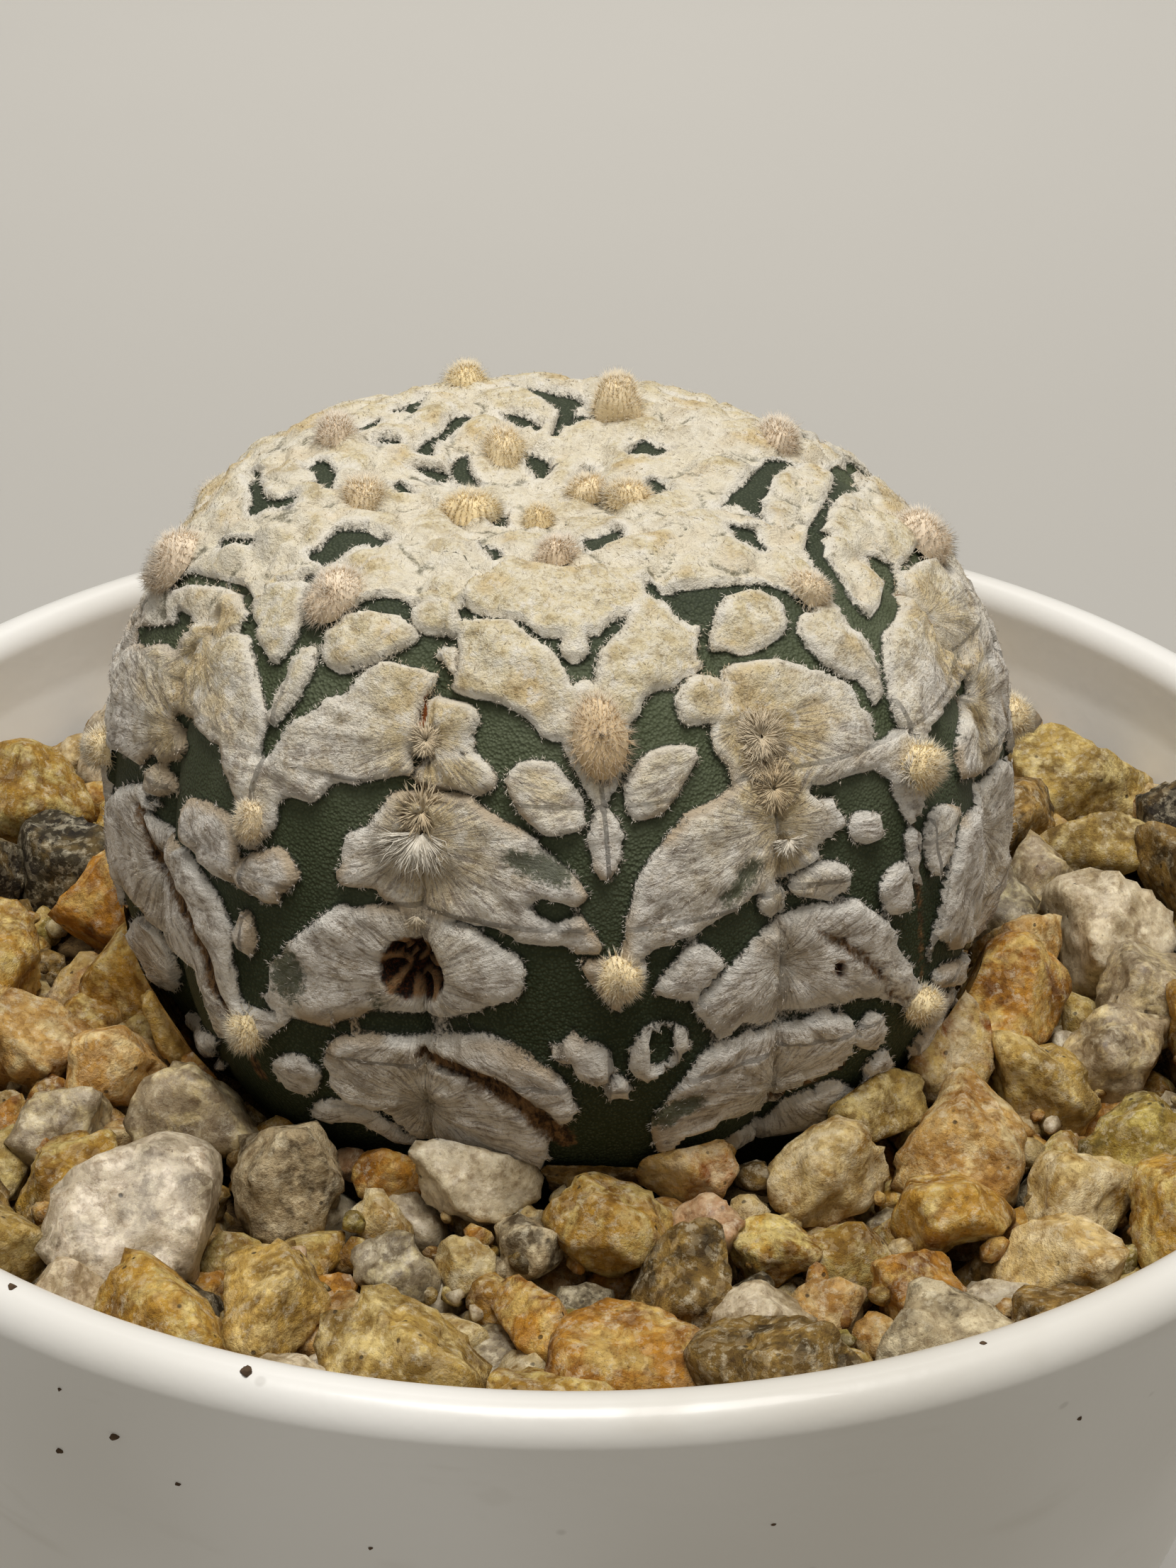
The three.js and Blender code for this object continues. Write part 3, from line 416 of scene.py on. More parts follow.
leftFelt = [
    [[0, 29, 1.2], [0.02, 38, 0.8]],
    [[-0.62, 33.5, 0.7], [-0.95, 33, 0.8]],
    [[-1.0, 38, 1.2], [-0.5, 38, 1.2], [-0.27, 45, 0.8]],
    [[0.3, 44.3, 0.9], [0.65, 41.5, 0.9]],
    [[0.85, 36.3, 0.65], [1.0, 38, 0.55]],
    [[0.08, 45, 0.4], [0.07, 50, 0.5], [0.08, 55.5, 0.3]],
    [[1.0, 54, 2], [0.7, 55, 2], [0.4, 60, 1.5], [0.15, 64.5, 1.1], [0.08, 70, 0.7],
     [0.08, 73.5, 0.5]],
    [[-0.95, 54, 1.6], [-0.6, 56, 1.7], [-0.32, 60.5, 1.2], [-0.12, 65.5, 0.9], [0.04, 69, 0.7]],
    [[-1.0, 47, 1.05], [-0.65, 48.5, 0.9]],
    [[-0.42, 72, 0.8], [-0.12, 77.5, 0.7]],
    [[0.1, 78, 0.7], [0.27, 76.3, 0.75]],
    [[0.05, 82.5, 0.3], [0.08, 87, 0.35]],
    [[1.0, 70, 1.9], [0.78, 71, 1.5], [0.68, 73.5, 0.8]],
    [[0.97, 83.3, 1.5], [0.7, 84.3, 1.6], [0.45, 86, 1.35], [0.3, 89, 0.8], [0.1, 92.3, 0.65],
     [0, 95, 0.55]],
    [[-0.97, 83, 1.75], [-0.6, 86, 1.5], [-0.3, 89, 1.2], [-0.1, 93, 0.8], [0, 95, 0.55]],
    [[0.33, 98, 0.55], [0.43, 99.5, 0.55]],
    [[0.97, 96.5, 1.2], [0.66, 97.5, 1.05]],
    [[0.95, 104.5, 0.9], [0.55, 105.5, 0.7]],
    [[-0.95, 100, 1.3], [-0.5, 103, 1.05], [-0.2, 107, 0.65]],
]
rightFelt = [
    [[-0.8, 29.5, 0.95], [-0.4, 28.5, 1.1], [-0.05, 31, 1.2], [0.05, 36, 0.95], [0.08, 41.5, 0.5]],
    [[1.0, 28, 1.2], [0.7, 30.5, 1.1], [0.35, 34, 1.1], [0.1, 37, 0.9]],
    [[-0.7, 39.8, 1.15], [-0.47, 38.3, 1.2]],
    [[-0.1, 43.5, 0.7], [-0.13, 48, 0.95], [-0.15, 51.5, 0.55]],
    [[0.03, 46, 0.3], [0, 51, 0.45], [-0.03, 54.7, 0.3]],
    [[0.97, 35.5, 0.7], [0.7, 39.5, 0.8], [0.5, 43.5, 0.7]],
    [[1.0, 44, 1.3], [0.7, 48, 1.45], [0.5, 54, 1.45], [0.27, 60, 1.05], [0, 66.5, 0.95]],
    [[-0.97, 56, 2.25], [-0.6, 55.5, 2.4], [-0.37, 57.5, 1.9], [-0.2, 63, 0.95], [-0.08, 67.5, 0.9]],
    [[-0.97, 49, 0.8], [-0.8, 48.5, 0.95]],
    [[-1.0, 70, 1.35], [-0.72, 70, 1.1]],
    [[-0.5, 71.5, 0.65]],
    [[-0.9, 77.3, 0.3], [-0.65, 77.2, 0.65]],
    [[-0.34, 78, 0.6], [-0.32, 81, 0.65]],
    [[-0.02, 79, 0.5], [0.02, 74, 0.6]],
    [[-0.2, 72, 0.35], [-0.16, 80, 0.35], [-0.2, 88, 0.4]],
    [[-0.97, 85.5, 1.3], [-0.6, 86, 1.3], [-0.37, 88.5, 0.9], [-0.15, 93, 0.7]],
    [[1.0, 74, 1.35], [0.6, 80, 1.3], [0.25, 87, 0.95], [0, 93, 0.65]],
    [[0.95, 62, 0.95], [0.85, 68, 0.8]],
    [[-0.97, 95, 1.3], [-0.74, 95, 1.1]],
    [[-0.52, 96, 0.7]],
    [[-0.5, 101.5, 0.4], [-0.42, 103.5, 0.4]],
    [[-0.95, 108, 0.7], [-0.5, 106, 0.7]],
    [[0.95, 96, 1.3], [0.5, 101, 1.05], [0.25, 106, 0.65]],
]
# Felt patches in front, each an outline of [azimuth, degrees down]
frontPatches = [
    [[-36, 45], [-36.5, 43], [-35, 40], [-32.5, 38], [-29.5, 37], [-25.5, 37], [-22.5, 39],
     [-21, 40.5], [-22, 42.5], [-30, 48], [-32.5, 48.5], [-35, 47]],
    [[-23.5, 37], [-23, 35], [-20, 34], [-16.5, 35], [-14, 36], [-14, 40], [-17.5, 40.5], [-20.5, 40],
     [-22, 39]],
    [[-18, 43.5], [-14, 41.5], [-13, 45], [-13.5, 46.5], [-17, 45]],
    [[-37, 45.5], [-36, 48], [-36, 51], [-37, 55], [-39, 59], [-40, 58], [-40, 53], [-39.5, 49],
     [-39, 46]],
    [[-52.5, 46.5], [-53, 42], [-52, 39.5], [-46, 36], [-43.5, 38], [-41, 44], [-42.5, 50], [-45, 50],
     [-48, 49], [-49, 47]],
    [[-57.5, 54], [-54, 50], [-49, 50], [-42, 56.5], [-40.5, 59.5], [-40, 64], [-39, 63], [-38, 63],
     [-38, 61], [-36.5, 57], [-34, 55], [-32.5, 52.5], [-30, 51], [-28.5, 48], [-26.5, 46],
     [-24.5, 45], [-17, 47], [-18.5, 51], [-19.5, 59], [-18.5, 62.5], [-20.5, 62], [-26, 64],
     [-28, 64], [-29.5, 65], [-30.5, 67], [-32.5, 67.5], [-34.5, 67.5], [-35.5, 68.5], [-35.5, 70.5],
     [-36.5, 73], [-38.5, 75.5], [-40.5, 76], [-41.5, 74], [-41.5, 71], [-46, 67], [-46.5, 65],
     [-50.5, 66], [-53.5, 66], [-55.5, 64.5], [-54.5, 60.5], [-56.5, 57]],
    [[-76.5, 79.5], [-82, 79.5], [-81.5, 76], [-80, 73], [-82.5, 71], [-80, 67], [-75, 62], [-70, 60],
     [-66.5, 60], [-66.5, 58], [-64.5, 55], [-58, 54], [-52, 56], [-52.5, 61], [-54.5, 65],
     [-62.5, 68], [-62, 70], [-56.5, 70], [-61, 74], [-64, 75.5], [-66, 75], [-68, 77.5], [-72, 78]],
    [[-18.5, 51.5], [-16.5, 50.5], [-13.5, 50], [-11, 50], [-9.5, 52], [-10.5, 54.5], [-10.5, 57],
     [-16.5, 59.5], [-19, 59]],
    [[-18.5, 60.5], [-16, 59], [-10, 57], [-7, 60], [-8.5, 62], [-10, 63], [-13, 63], [-16, 64],
     [-18.5, 63]],
    [[-66.5, 78], [-65, 76], [-63.5, 75.5], [-62, 77], [-58, 77], [-102, 96], [-65, 81.5], [-66.5, 81]],
    [[-78, 85.5], [-67.5, 79.5], [-66.5, 82], [-61, 83], [-52.5, 81], [-49, 81.5], [-45.5, 82.5],
     [-43, 84], [-41.5, 85.5], [-41.5, 88], [-40.5, 90], [-39.5, 91], [-33.5, 90], [-34.5, 92],
     [-39.5, 98], [-42, 100], [-43.5, 99], [-46, 100], [-46.5, 96.5], [-49.5, 91.5], [-55, 92],
     [-64, 93.5], [-66.5, 92], [-70.5, 91], [-77.5, 93], [-78, 90]],
    [[-51.5, 74], [-44.5, 73], [-42, 73.5], [-40.5, 78], [-40.5, 80], [-43, 81], [-46, 81],
     [-49.5, 80], [-53, 80], [-53, 77]],
    [[-40, 77], [-36.5, 74.5], [-34.5, 74], [-32, 76], [-32.5, 78], [-34, 79], [-34.5, 81],
     [-39.5, 81], [-40.5, 79.5]],
    [[-41, 85], [-40, 83], [-38.5, 83], [-37.5, 85], [-38, 87], [-39, 87.5], [-40.5, 87]],
    [[-27, 71], [-26, 70], [-24, 69], [-22.5, 66], [-21, 64], [-16, 64], [-13, 63], [-10, 63],
     [-9.5, 64], [-2.5, 67], [-2, 68], [1.5, 71], [3, 73], [3.5, 74.5], [2, 75.5], [0, 75], [-2, 75],
     [-3, 76], [-1.5, 77], [0, 77.5], [2, 76.5], [3.5, 77], [5, 80], [4.5, 81], [2.5, 81], [0.5, 80],
     [-4, 80], [-7, 79], [-19, 79], [-22.5, 77], [-26, 77], [-27.5, 75.5], [-26.5, 74.5]],
    [[-35.5, 87], [-30.5, 82], [-26.5, 79], [-25, 79.5], [-23, 78.5], [-14.5, 78], [-12.5, 79],
     [-10.5, 79], [-7.5, 80], [-6, 81], [-4.5, 81.5], [-3.5, 83], [-4, 85], [-5, 86], [-12.5, 88.5],
     [-16.5, 89], [-23, 89], [-28, 90], [-37, 90], [-36, 89]],
    [[-28.5, 93.5], [-27, 91], [-23, 90], [-16.5, 90], [-10, 89], [-7, 89], [-2.5, 90], [0.5, 92],
     [2, 96], [2, 99], [0, 101], [-2.5, 113], [-5.5, 112], [-8.5, 108], [-12, 108], [-17, 110],
     [-20, 107.5], [-22, 103.5], [-27.5, 101], [-28.5, 98]],
    [[-32.5, 107], [-30.5, 104], [-28, 103], [-25.5, 103], [-23, 104.5], [-21, 107], [-19, 111],
     [-22, 110], [-24.5, 107.5], [-27.5, 107], [-31, 108]],
    [[-36.5, 99], [-34.5, 97], [-32, 96], [-30.5, 97], [-29.5, 98.5], [-31, 102], [-33, 103.5],
     [-35, 103], [-36.5, 102]],
    [[-76, 101.5], [-69, 94], [-67, 93], [-64.5, 94], [-63, 96.5], [-62.5, 99.5], [-63.5, 103],
     [-66.5, 106], [-71, 107.5], [-74, 107], [-75, 105]],
    [[-74.5, 106], [-73, 109.5], [-72, 113], [-70, 116], [-73.5, 109]],
    [[-64.5, 109], [-62, 109.5], [-46.5, 101.5], [-62, 119], [-64.5, 123], [-48.5, 108],
     [-68.5, 119.5], [-69.5, 117]],
    [[-14.5, 38], [-13.5, 37], [-11, 36], [-7, 35], [-4, 35.5], [1.5, 40], [3, 42], [4, 44.5], [4, 46],
     [5.5, 45], [7, 45], [7.5, 46], [10, 40.5], [15, 37.5], [17.5, 35], [21.5, 33.5], [24.5, 34],
     [25.5, 35.5], [26, 38], [27.5, 40], [29.5, 41], [25, 45], [26.5, 46], [24, 47], [21, 47],
     [19, 48], [16, 48], [13.5, 49.5], [13, 51], [11.5, 52], [10, 54.5], [9, 56.5], [9, 58], [6.5, 63],
     [5, 63], [2, 55.5], [2, 54], [0.5, 54], [-1.5, 53], [-2, 52], [-5, 50], [-8, 49], [-14, 49],
     [-13, 44]],
    [[-13.5, 33], [-12.5, 34.5], [-9.5, 35], [-2.5, 35], [0, 37], [2, 38], [4, 38], [3.5, 40],
     [4.5, 42], [6, 42], [8, 40.5], [9, 38], [11, 38], [14, 36], [22.5, 34], [25, 32.5], [23.5, 28],
     [19, 23], [5, 20.5], [-7.5, 25], [-12.5, 29]],
    [[9, 60], [11.5, 57], [14, 56], [16.5, 56], [18.5, 56.5], [19, 58], [18, 60], [14.5, 64],
     [12.5, 65], [10.5, 65.5], [9, 64.5], [8.5, 62]],
    [[-6, 60], [-5, 58], [-2.5, 57], [0, 57], [1.5, 58.5], [3.5, 62], [3.5, 64.5], [3, 66], [-0.5, 67],
     [-2, 66.5], [-4.5, 63.5]],
    [[5, 63.5], [6.5, 63], [8, 66], [8, 68], [7.5, 70], [6.5, 72], [5.5, 72.5], [4.5, 71.5], [4, 69.5],
     [4, 66.5]],
    [[33.5, 38.5], [37.5, 36], [41, 35.5], [44.5, 36], [46, 38], [45.5, 40], [43.5, 43], [40.5, 44.5],
     [37.5, 45], [34.5, 46], [32.5, 46], [31, 45], [28, 45], [31, 41]],
    [[18.5, 50], [21, 48], [23.5, 47], [26, 48.5], [27, 50], [26.5, 52], [25, 54], [23, 54.5],
     [20.5, 54], [18.5, 53]],
    [[27, 50.5], [27.5, 49], [31, 47], [36, 47], [38.5, 48], [40.5, 50], [42.5, 51], [45, 53],
     [45.5, 55], [45.5, 57], [46, 59], [45.5, 61], [44.5, 62.5], [47, 63], [50, 62.5], [53, 67],
     [52.5, 70], [51, 72.5], [48, 75], [46.5, 74], [45, 68], [43, 66], [38.5, 66], [36.5, 66.5],
     [34.5, 66], [34, 67], [35, 68], [36.5, 68], [37, 70], [37, 72], [33.5, 74], [33.5, 75.5],
     [29, 77.5], [26, 77.5], [11, 81], [10, 82], [9.5, 83.5], [7, 86], [7, 87], [4, 84], [2.5, 81],
     [7, 81], [9, 72.5], [15, 66], [16.5, 65], [23, 63.5], [22, 58], [22, 56], [23.5, 53.5]],
    [[38, 72.5], [39, 71], [41, 71], [42.5, 72], [42.5, 73.5], [42, 75], [40.5, 75], [38.5, 74]],
    [[29.5, 78], [32.5, 76], [35, 76], [37, 77], [37.5, 79], [36.5, 80], [34.5, 80.5], [30.5, 79.5]],
    [[25, 78], [26.5, 77], [29, 78], [29.5, 80], [29, 81], [27.5, 81.5], [25, 80], [24.5, 79]],
    [[41.5, 80], [43, 79], [45.5, 79], [46.5, 81], [46.5, 83], [45.5, 84.5], [44, 84.5], [42, 83],
     [41.5, 81.5]],
    [[45, 43.5], [49, 42], [53.5, 43], [53.5, 45], [52.5, 47.5], [53.5, 49.5], [53, 51.5], [52, 54],
     [49.5, 58], [47.5, 58], [48, 54], [46, 53.5], [43.5, 49], [43.5, 45]],
    [[50, 76], [52.5, 75], [55.5, 75.5], [57.5, 77], [56.5, 79], [54.5, 81], [52.5, 82], [50.5, 82.5],
     [49.5, 80.5], [49, 78]],
    [[47, 75], [48.5, 76], [48, 83], [46, 78.5], [46, 76]],
    [[75.5, 67], [80.5, 67], [84.5, 72], [83, 77], [79.5, 80], [75.5, 81], [63, 76], [59.5, 74],
     [61, 70.5], [66.5, 69.5], [75, 70]],
    [[75.5, 48], [66, 51], [59, 51], [55, 53], [52, 56.5], [50, 60], [50, 62], [52.5, 66.5],
     [55.5, 65.5], [64, 65.5], [73.5, 67.5], [75.5, 65.5], [79, 65], [89, 66], [84, 55]],
    [[75, 82], [77.5, 81], [82.5, 82], [85.5, 87.5], [85.5, 92], [84.5, 96], [82.5, 99], [79, 100],
     [81.5, 104], [64, 97], [63, 100], [57, 97], [52, 93.5], [53.5, 91], [74, 101], [62, 89.5],
     [73, 97], [53, 89], [51, 90], [50, 89], [51.5, 87], [52.5, 84.5], [55, 82], [58, 80], [61, 79.5]],
    [[11, 84.5], [13.5, 82], [15.5, 81], [17.5, 81.5], [19, 83], [19.5, 84], [16.5, 86], [14.5, 86.5],
     [11.5, 85.5]],
    [[8, 89.5], [10.5, 88], [13, 88], [15.5, 89], [15, 90], [11.5, 92.5], [10, 93], [8.5, 91]],
    [[-1, 89], [0.5, 89], [2, 88], [3, 89], [4.5, 89], [6, 89.5], [6.5, 90], [6, 92], [4.5, 93],
     [3, 92], [1.5, 90], [0, 90]],
    [[5.5, 93.5], [6.5, 91.5], [7.5, 92], [8.5, 94], [7.5, 96], [6, 95.5]],
    [[15.5, 86.5], [17.5, 86], [24, 82.5], [27.5, 82], [30, 81], [32.5, 80.5], [35.5, 81], [38, 81],
     [43, 85], [45, 88], [47, 89], [49.5, 92], [75.5, 113], [53, 99], [50.5, 98], [43.5, 91.5],
     [40, 90], [27, 90], [23, 89.5], [20.5, 90], [18.5, 89.5], [17, 88.5]],
    [[38.5, 94], [37.5, 91], [35, 90], [32.5, 90], [29, 91], [24, 90], [17.5, 90], [16, 91.5],
     [14.5, 94], [12.5, 97.5], [11, 101], [12.5, 107], [15.5, 105], [19, 104.5], [23, 104.5],
     [29, 106], [31, 103], [34, 101], [36.5, 100], [38.5, 98]],
    [[38.5, 95], [39.5, 92.5], [41, 92], [43, 94], [44, 97], [43, 99], [41, 99], [39, 97]],
    [[41.5, 102.5], [42.5, 101], [44.5, 100.5], [46, 103], [45, 108.5], [43, 108.5]],
    [[21.5, 111.5], [24.5, 110], [29, 109.5], [30.5, 106], [31.5, 105], [36, 103], [38.5, 104],
     [43.5, 110], [43.5, 114], [40, 113.5], [37.5, 115.5], [34.5, 115.5], [31.5, 115], [29.5, 117],
     [25.5, 117], [23, 115]],
    [[50, 104.5], [52.5, 102], [57, 101], [62.5, 101], [63, 100.5], [59, 107.5], [54, 108]],
]
# Down to here, as [azimuth, degrees down], the crown is felted all over but for its gaps
crownLimit = [
    [-180, 33], [-150, 34], [-125, 37], [-110, 48], [-100, 56], [-85, 60], [-76, 62], [-70, 58],
    [-62, 56], [-57, 54], [-54, 50], [-52, 40], [-47, 36], [-41, 40], [-37, 41], [-34, 37], [-28, 35],
    [-20, 35], [-15, 36], [-12, 31], [-4, 25], [8, 25], [18, 27], [24, 31], [28, 34], [40, 34.5],
    [46, 37], [50, 44], [54, 48], [58, 51], [66, 60], [76, 68], [86, 68], [95, 60], [109, 52],
    [122, 40], [145, 34], [180, 33],
]
# Bare gaps in the felt and fine dark cracks between its lobes, as [azimuth, degrees down, half width]
bareGaps = [
    [[-98.5, 26, 0.39], [-93, 23, 0.31], [-79.5, 21.5, 0.08]],
    [[-52, 32, 0.15], [-48.5, 30.5, 0.48], [-50.5, 26, 0.69], [-48.5, 23.5, 0.51], [-43, 22.5, 0.26],
     [-41.5, 21, 0.08]],
    [[-14, 16, 0.06], [-9.5, 17, 0.15], [-7.5, 20, 0.15]],
    [[24, 18, 0.17], [30.5, 17, 0.56], [42, 14.5, 0.13]],
    [[131, 17.5, 0.07], [125, 16, 0.44], [121, 17, 0.36]],
    [[99, 14, 0.08], [94.5, 14, 0.17], [81, 15, 0.11]],
    [[-173.5, 19, 0.09], [-176.5, 18, 0.26], [179.5, 17, 0.23], [174, 16, 0.06]],
    [[-157.5, 19, 0.24], [-151, 17.5, 0.1], [-140.5, 16, 0.08], [-129.5, 13.5, 0.21]],
    [[-146, 11, 0.09], [-135.5, 8.5, 0.26], [-128.5, 6, 0.26]],
    [[-116.5, 12, 0.11], [-118, 10, 0.36], [-121.5, 9, 0.18]],
    [[-95.5, 13, 0.06], [-87.5, 11.5, 0.21], [-82, 11.5, 0.08]],
    [[175, 10, 0.08], [169, 8.5, 0.24], [157, 6, 0.14]],
    [[122, 7, 0.13], [133, 9.5, 0.03]],
    [[-176.5, 29.5, 0.32], [176.5, 27, 0.47], [168, 22.5, 0.5]],
    [[167, 22, 0.22], [166.5, 18, 0.1], [165.5, 14, 0.05]],
    [[160, 19, 0.22], [163.5, 17, 0.18]],
    [[-143.5, 27, 0.4], [-148.5, 29, 0.4], [-153, 30, 0.25]],
    [[-127, 24, 0.31], [-131, 24.5, 0.14]],
    [[-123.5, 19.5, 0.11], [-126.5, 18, 0.17]],
    [[-22.5, 4, 0.18], [-13.5, 7, 0.21]],
    [[74, 24, 0.11], [76.5, 25, 0.42], [82, 25, 0.51], [94, 26.5, 0.28], [102.5, 30, 0.31],
     [105, 33, 0.19]],
    [[78, 26, 0.34], [70.5, 29, 0.08]],
    [[61.5, 26, 0.08], [60.5, 28, 0.37], [57.5, 29, 0.38], [57, 31, 0.06]],
    [[91.5, 36, 0.08], [98, 39, 0.4], [111.5, 45, 0.6]],
    [[91, 36, 0.04], [84.5, 35, 0.05], [78.5, 35.5, 0.14], [74.5, 36, 0.12]],
    [[73.5, 36, 0.15], [74, 38, 0.11]],
    [[71.5, 37, 0.36], [65, 37, 0.33], [61, 40, 0.36], [57, 43.5, 0.37], [55.5, 47, 0.49],
     [57, 49.5, 0.45]],
    [[57, 49.5, 0.29], [64, 50, 0.32], [71.5, 50, 0.49], [75.5, 47, 0.27], [75.5, 45, 0.13]],
    [[79, 49, 0.04], [83.5, 49.5, 0.07], [89, 51, 0.3], [89.5, 53, 0.4], [88.5, 55, 0.2]],
    [[27.5, 36, 0.15], [32, 35, 0.44], [37, 34.5, 0.22], [42, 35, 0.11], [45, 36, 0.15],
     [47, 38, 0.27], [48, 40.5, 0.27], [49, 42, 0.09]],
    [[26, 31, 0.05], [25, 33, 0.2]],
    [[-102, 39, 0.13], [-89.5, 34, 0.17], [-81, 32.5, 0.28], [-79.5, 33, 0.55], [-78.5, 31, 0.35],
     [-77, 29, 0.25], [-79.5, 27.5, 0.11]],
    [[-73.5, 41, 0.22], [-71.5, 39, 0.09], [-69, 37.5, 0.11]],
    [[-76, 52, 0.3], [-73, 49, 0.19], [-67, 46.5, 0.04], [-64, 46, 0.07], [-59.5, 46, 0.21],
     [-55, 45.5, 0.21]],
    [[-47.5, 36, 0.05], [-45.5, 35, 0.13], [-44, 36, 0.15], [-43, 39, 0.05], [-40.5, 42.5, 0.09],
     [-40, 45, 0.12]],
    [[-50.5, 48, 0.07], [-48, 50, 0.15]],
    [[-70, 55, 0.13], [-67.5, 55, 0.26], [-68, 56.5, 0.28], [-76, 62, 0.37]],
    [[-33.5, 38, 0.04], [-31.5, 36, 0.15], [-29, 35, 0.19], [-26.5, 35, 0.2]],
    [[11.6, 89.7, 0.24], [12.2, 89.3, 0.22]],
]
feltCracks = [
    [[-25.5, 22, 0.05], [-20.5, 23, 0.05], [-16, 24, 0.05], [-11, 25, 0.05]],
    [[53.5, 21.5, 0.03], [41.5, 23, 0.03], [27.5, 27.5, 0.03]],
    [[-96.5, 12.5, 0.04], [-95, 10, 0.04]],
    [[-96.5, 9, 0.03], [-82.5, 8, 0.03], [-58.5, 9, 0.03]],
    [[152.5, 6.5, 0.03], [148.5, 9, 0.03]],
    [[46, 6, 0.03], [32, 9, 0.03]],
    [[-73.5, 35, 0.03], [-73, 32, 0.03], [-74, 28, 0.03]],
    [[-104.5, 60.5, 0.05], [-81.5, 43, 0.05]],
    [[-64, 55, 0.03], [-57.5, 54, 0.03]],
    [[-30.5, 47.5, 0.03], [-26, 45, 0.03], [-23.5, 43, 0.03]],
]
# Woolly areoles on a rib are [across, degrees down, radius, height, stretch down, tone]; tone
# runs from 0, pale tan, over 1, pinkish, to 2, brown
middleWool = [[0.03, 53.5, 1.1, 0.45, 1.5, 1.7], [0.04, 83, 0.8, 0.5, 1, 0.2]]
leftWool = [[0, 71.5, 0.7, 0.3, 1.3, 0.4], [0, 94, 0.75, 0.5, 1, 0]]
rightWool = [[-0.05, 68, 1.05, 0.8, 1, 0], [-0.08, 94.5, 0.75, 0.5, 1, 0]]
backNearWool = [[0.05, 50, 1.05, 0.6, 1.3, 1.1], [0, 81, 0.9, 0.6, 1, 0.2]]
backFarWool = [[0, 64, 1.05, 0.7, 1.1, 0.7], [0.05, 92, 0.85, 0.5, 1, 0.2]]
# Wool in the crown is [azimuth, degrees down, radius, height, stretch down, tone]
crownWool = [
    [151, 21, 1.05, 1.3, 1, 0.4], [190, 10, 0.85, 0.55, 1.5, 0.3], [245.5, 24.5, 0.95, 0.55, 0.8, 1],
    [289, 18, 1.05, 0.55, 0.8, 0.5], [196.5, 32, 0.9, 0.6, 1, 0], [313, 6, 1, 0.4, 1.3, 0.1],
    [92, 6.5, 0.8, 0.35, 1, 0.4], [77, 11.5, 0.9, 0.4, 1, 0.3], [11, 20, 0.85, 0.4, 0.9, 1],
    [21, 6, 0.6, 0.3, 1, 0], [115, 33, 1.1, 0.55, 0.7, 1], [52.5, 40, 0.7, 0.3, 1.2, 0.6],
    [-38.5, 37, 0.95, 0.45, 1.3, 0.9], [-80, 53, 0.8, 0.45, 1, 1],
]
ribPatterns = [
    (leftFelt, leftWool, 1), (middleFelt, middleWool, 1), (rightFelt, rightWool, 1),
    (middleFelt, backNearWool, -1), (leftFelt, leftWool, -1), (rightFelt, backFarWool, 1),
    (middleFelt, backNearWool, 1), (rightFelt, backFarWool, -1), (middleFelt, backNearWool, 1),
]
# Corky brown scars and dark cracks are strokes of [azimuth, degrees down, half width]
scars = [
    [[-67.5, 82, 0.2], [-63.5, 86, 0.35], [-51, 86.5, 0.4], [-45, 89.5, 0.35], [-41, 94, 0.2]],
    [[-17, 92.5, 0.3], [-12, 92.5, 0.45], [-7, 94, 0.5], [-2, 98.5, 0.55], [1, 104, 0.5]],
    [[33, 83.5, 0.12], [36, 85, 0.22], [41, 88.5, 0.16], [46.5, 92.5, 0.15]],
    [[48, 74, 0.1], [48, 82, 0.16], [49.5, 91, 0.12]],
    [[27.5, 104, 0.3], [34.5, 102.5, 0.25]],
    [[-42, 96, 0.2], [-40, 104, 0.35]],
    [[154, 60, 0.2], [150, 68, 0.35]],
    [[232, 88, 0.3], [240, 91, 0.4], [247, 96, 0.3]],
    [[92, 88, 0.25], [97, 93, 0.35]],
]
craters = [[[-18.6, 84.8, 1], [-16.2, 84.8, 1]], [[38, 101, 0.3]], [[35.5, 87, 0.25]], [[215, 70, 0.6]], [[141, 82, 0.5]]]
petals = 7  # ridges round a crater
rustCracks = [
    [[-18.5, 49.5, 0.03], [-18.3, 53, 0.12], [-18.6, 57, 0.03]],
    [[30, 55.5, 0.08], [28.8, 59, 0.2], [28.5, 61.5, 0.22], [28.5, 64, 0.06]],
    [[-19.2, 67.2, 0.2], [-17.4, 68.2, 0.3], [-15.6, 67.4, 0.2]], [[-17, 69.5, 0.1], [-16.8, 71, 0.16], [-17, 72, 0.03]],
    [[73, 52, 0.05], [73.5, 58, 0.13]],
    [[174, 48, 0.05], [173.6, 54, 0.13]],
]
# Worn places where the skin shows through the felt
wornFelt = [
    [[0, 71, 0.7], [-4.5, 70, 0.5]], [[23.5, 74, 0.5], [20, 76.5, 0.4]], [[-33, 87, 0.8]],
    [[12, 99.5, 0.7], [16, 97.5, 0.5]], [[-22, 88, 0.3]], [[120, 76, 0.7]], [[190, 86, 0.8]],
    [[245, 74, 0.6]],
]


def patternRandom():
    # the same small changes at the back as the felt of the solid plant has
    state = plant["patternSeed"]
    while True:
        state = (state * 1664525 + 1013904223) % 2 ** 32
        yield state / 2 ** 31 - 1


def placedStrokes():
    # every stroke of felt on the ribs behind as [azimuth, degrees down, half width]
    change = patternRandom()
    strokes = []
    for rib, (felt, _, side) in list(enumerate(ribPatterns))[plant["frontRibs"]:]:
        half = ribWidths[rib] / 2
        slim = math.sqrt(ribWidths[rib] / plant["usualRibWidth"])
        for stroke in felt:
            shift = next(change) * plant["patternShift"]
            slide = next(change) * plant["patternDegrees"]
            strokes.append([[grooves[rib] + half * (1 + side * across + shift), polar + slide,
                             halfWidth * slim] for across, polar, halfWidth in stroke])
    return strokes


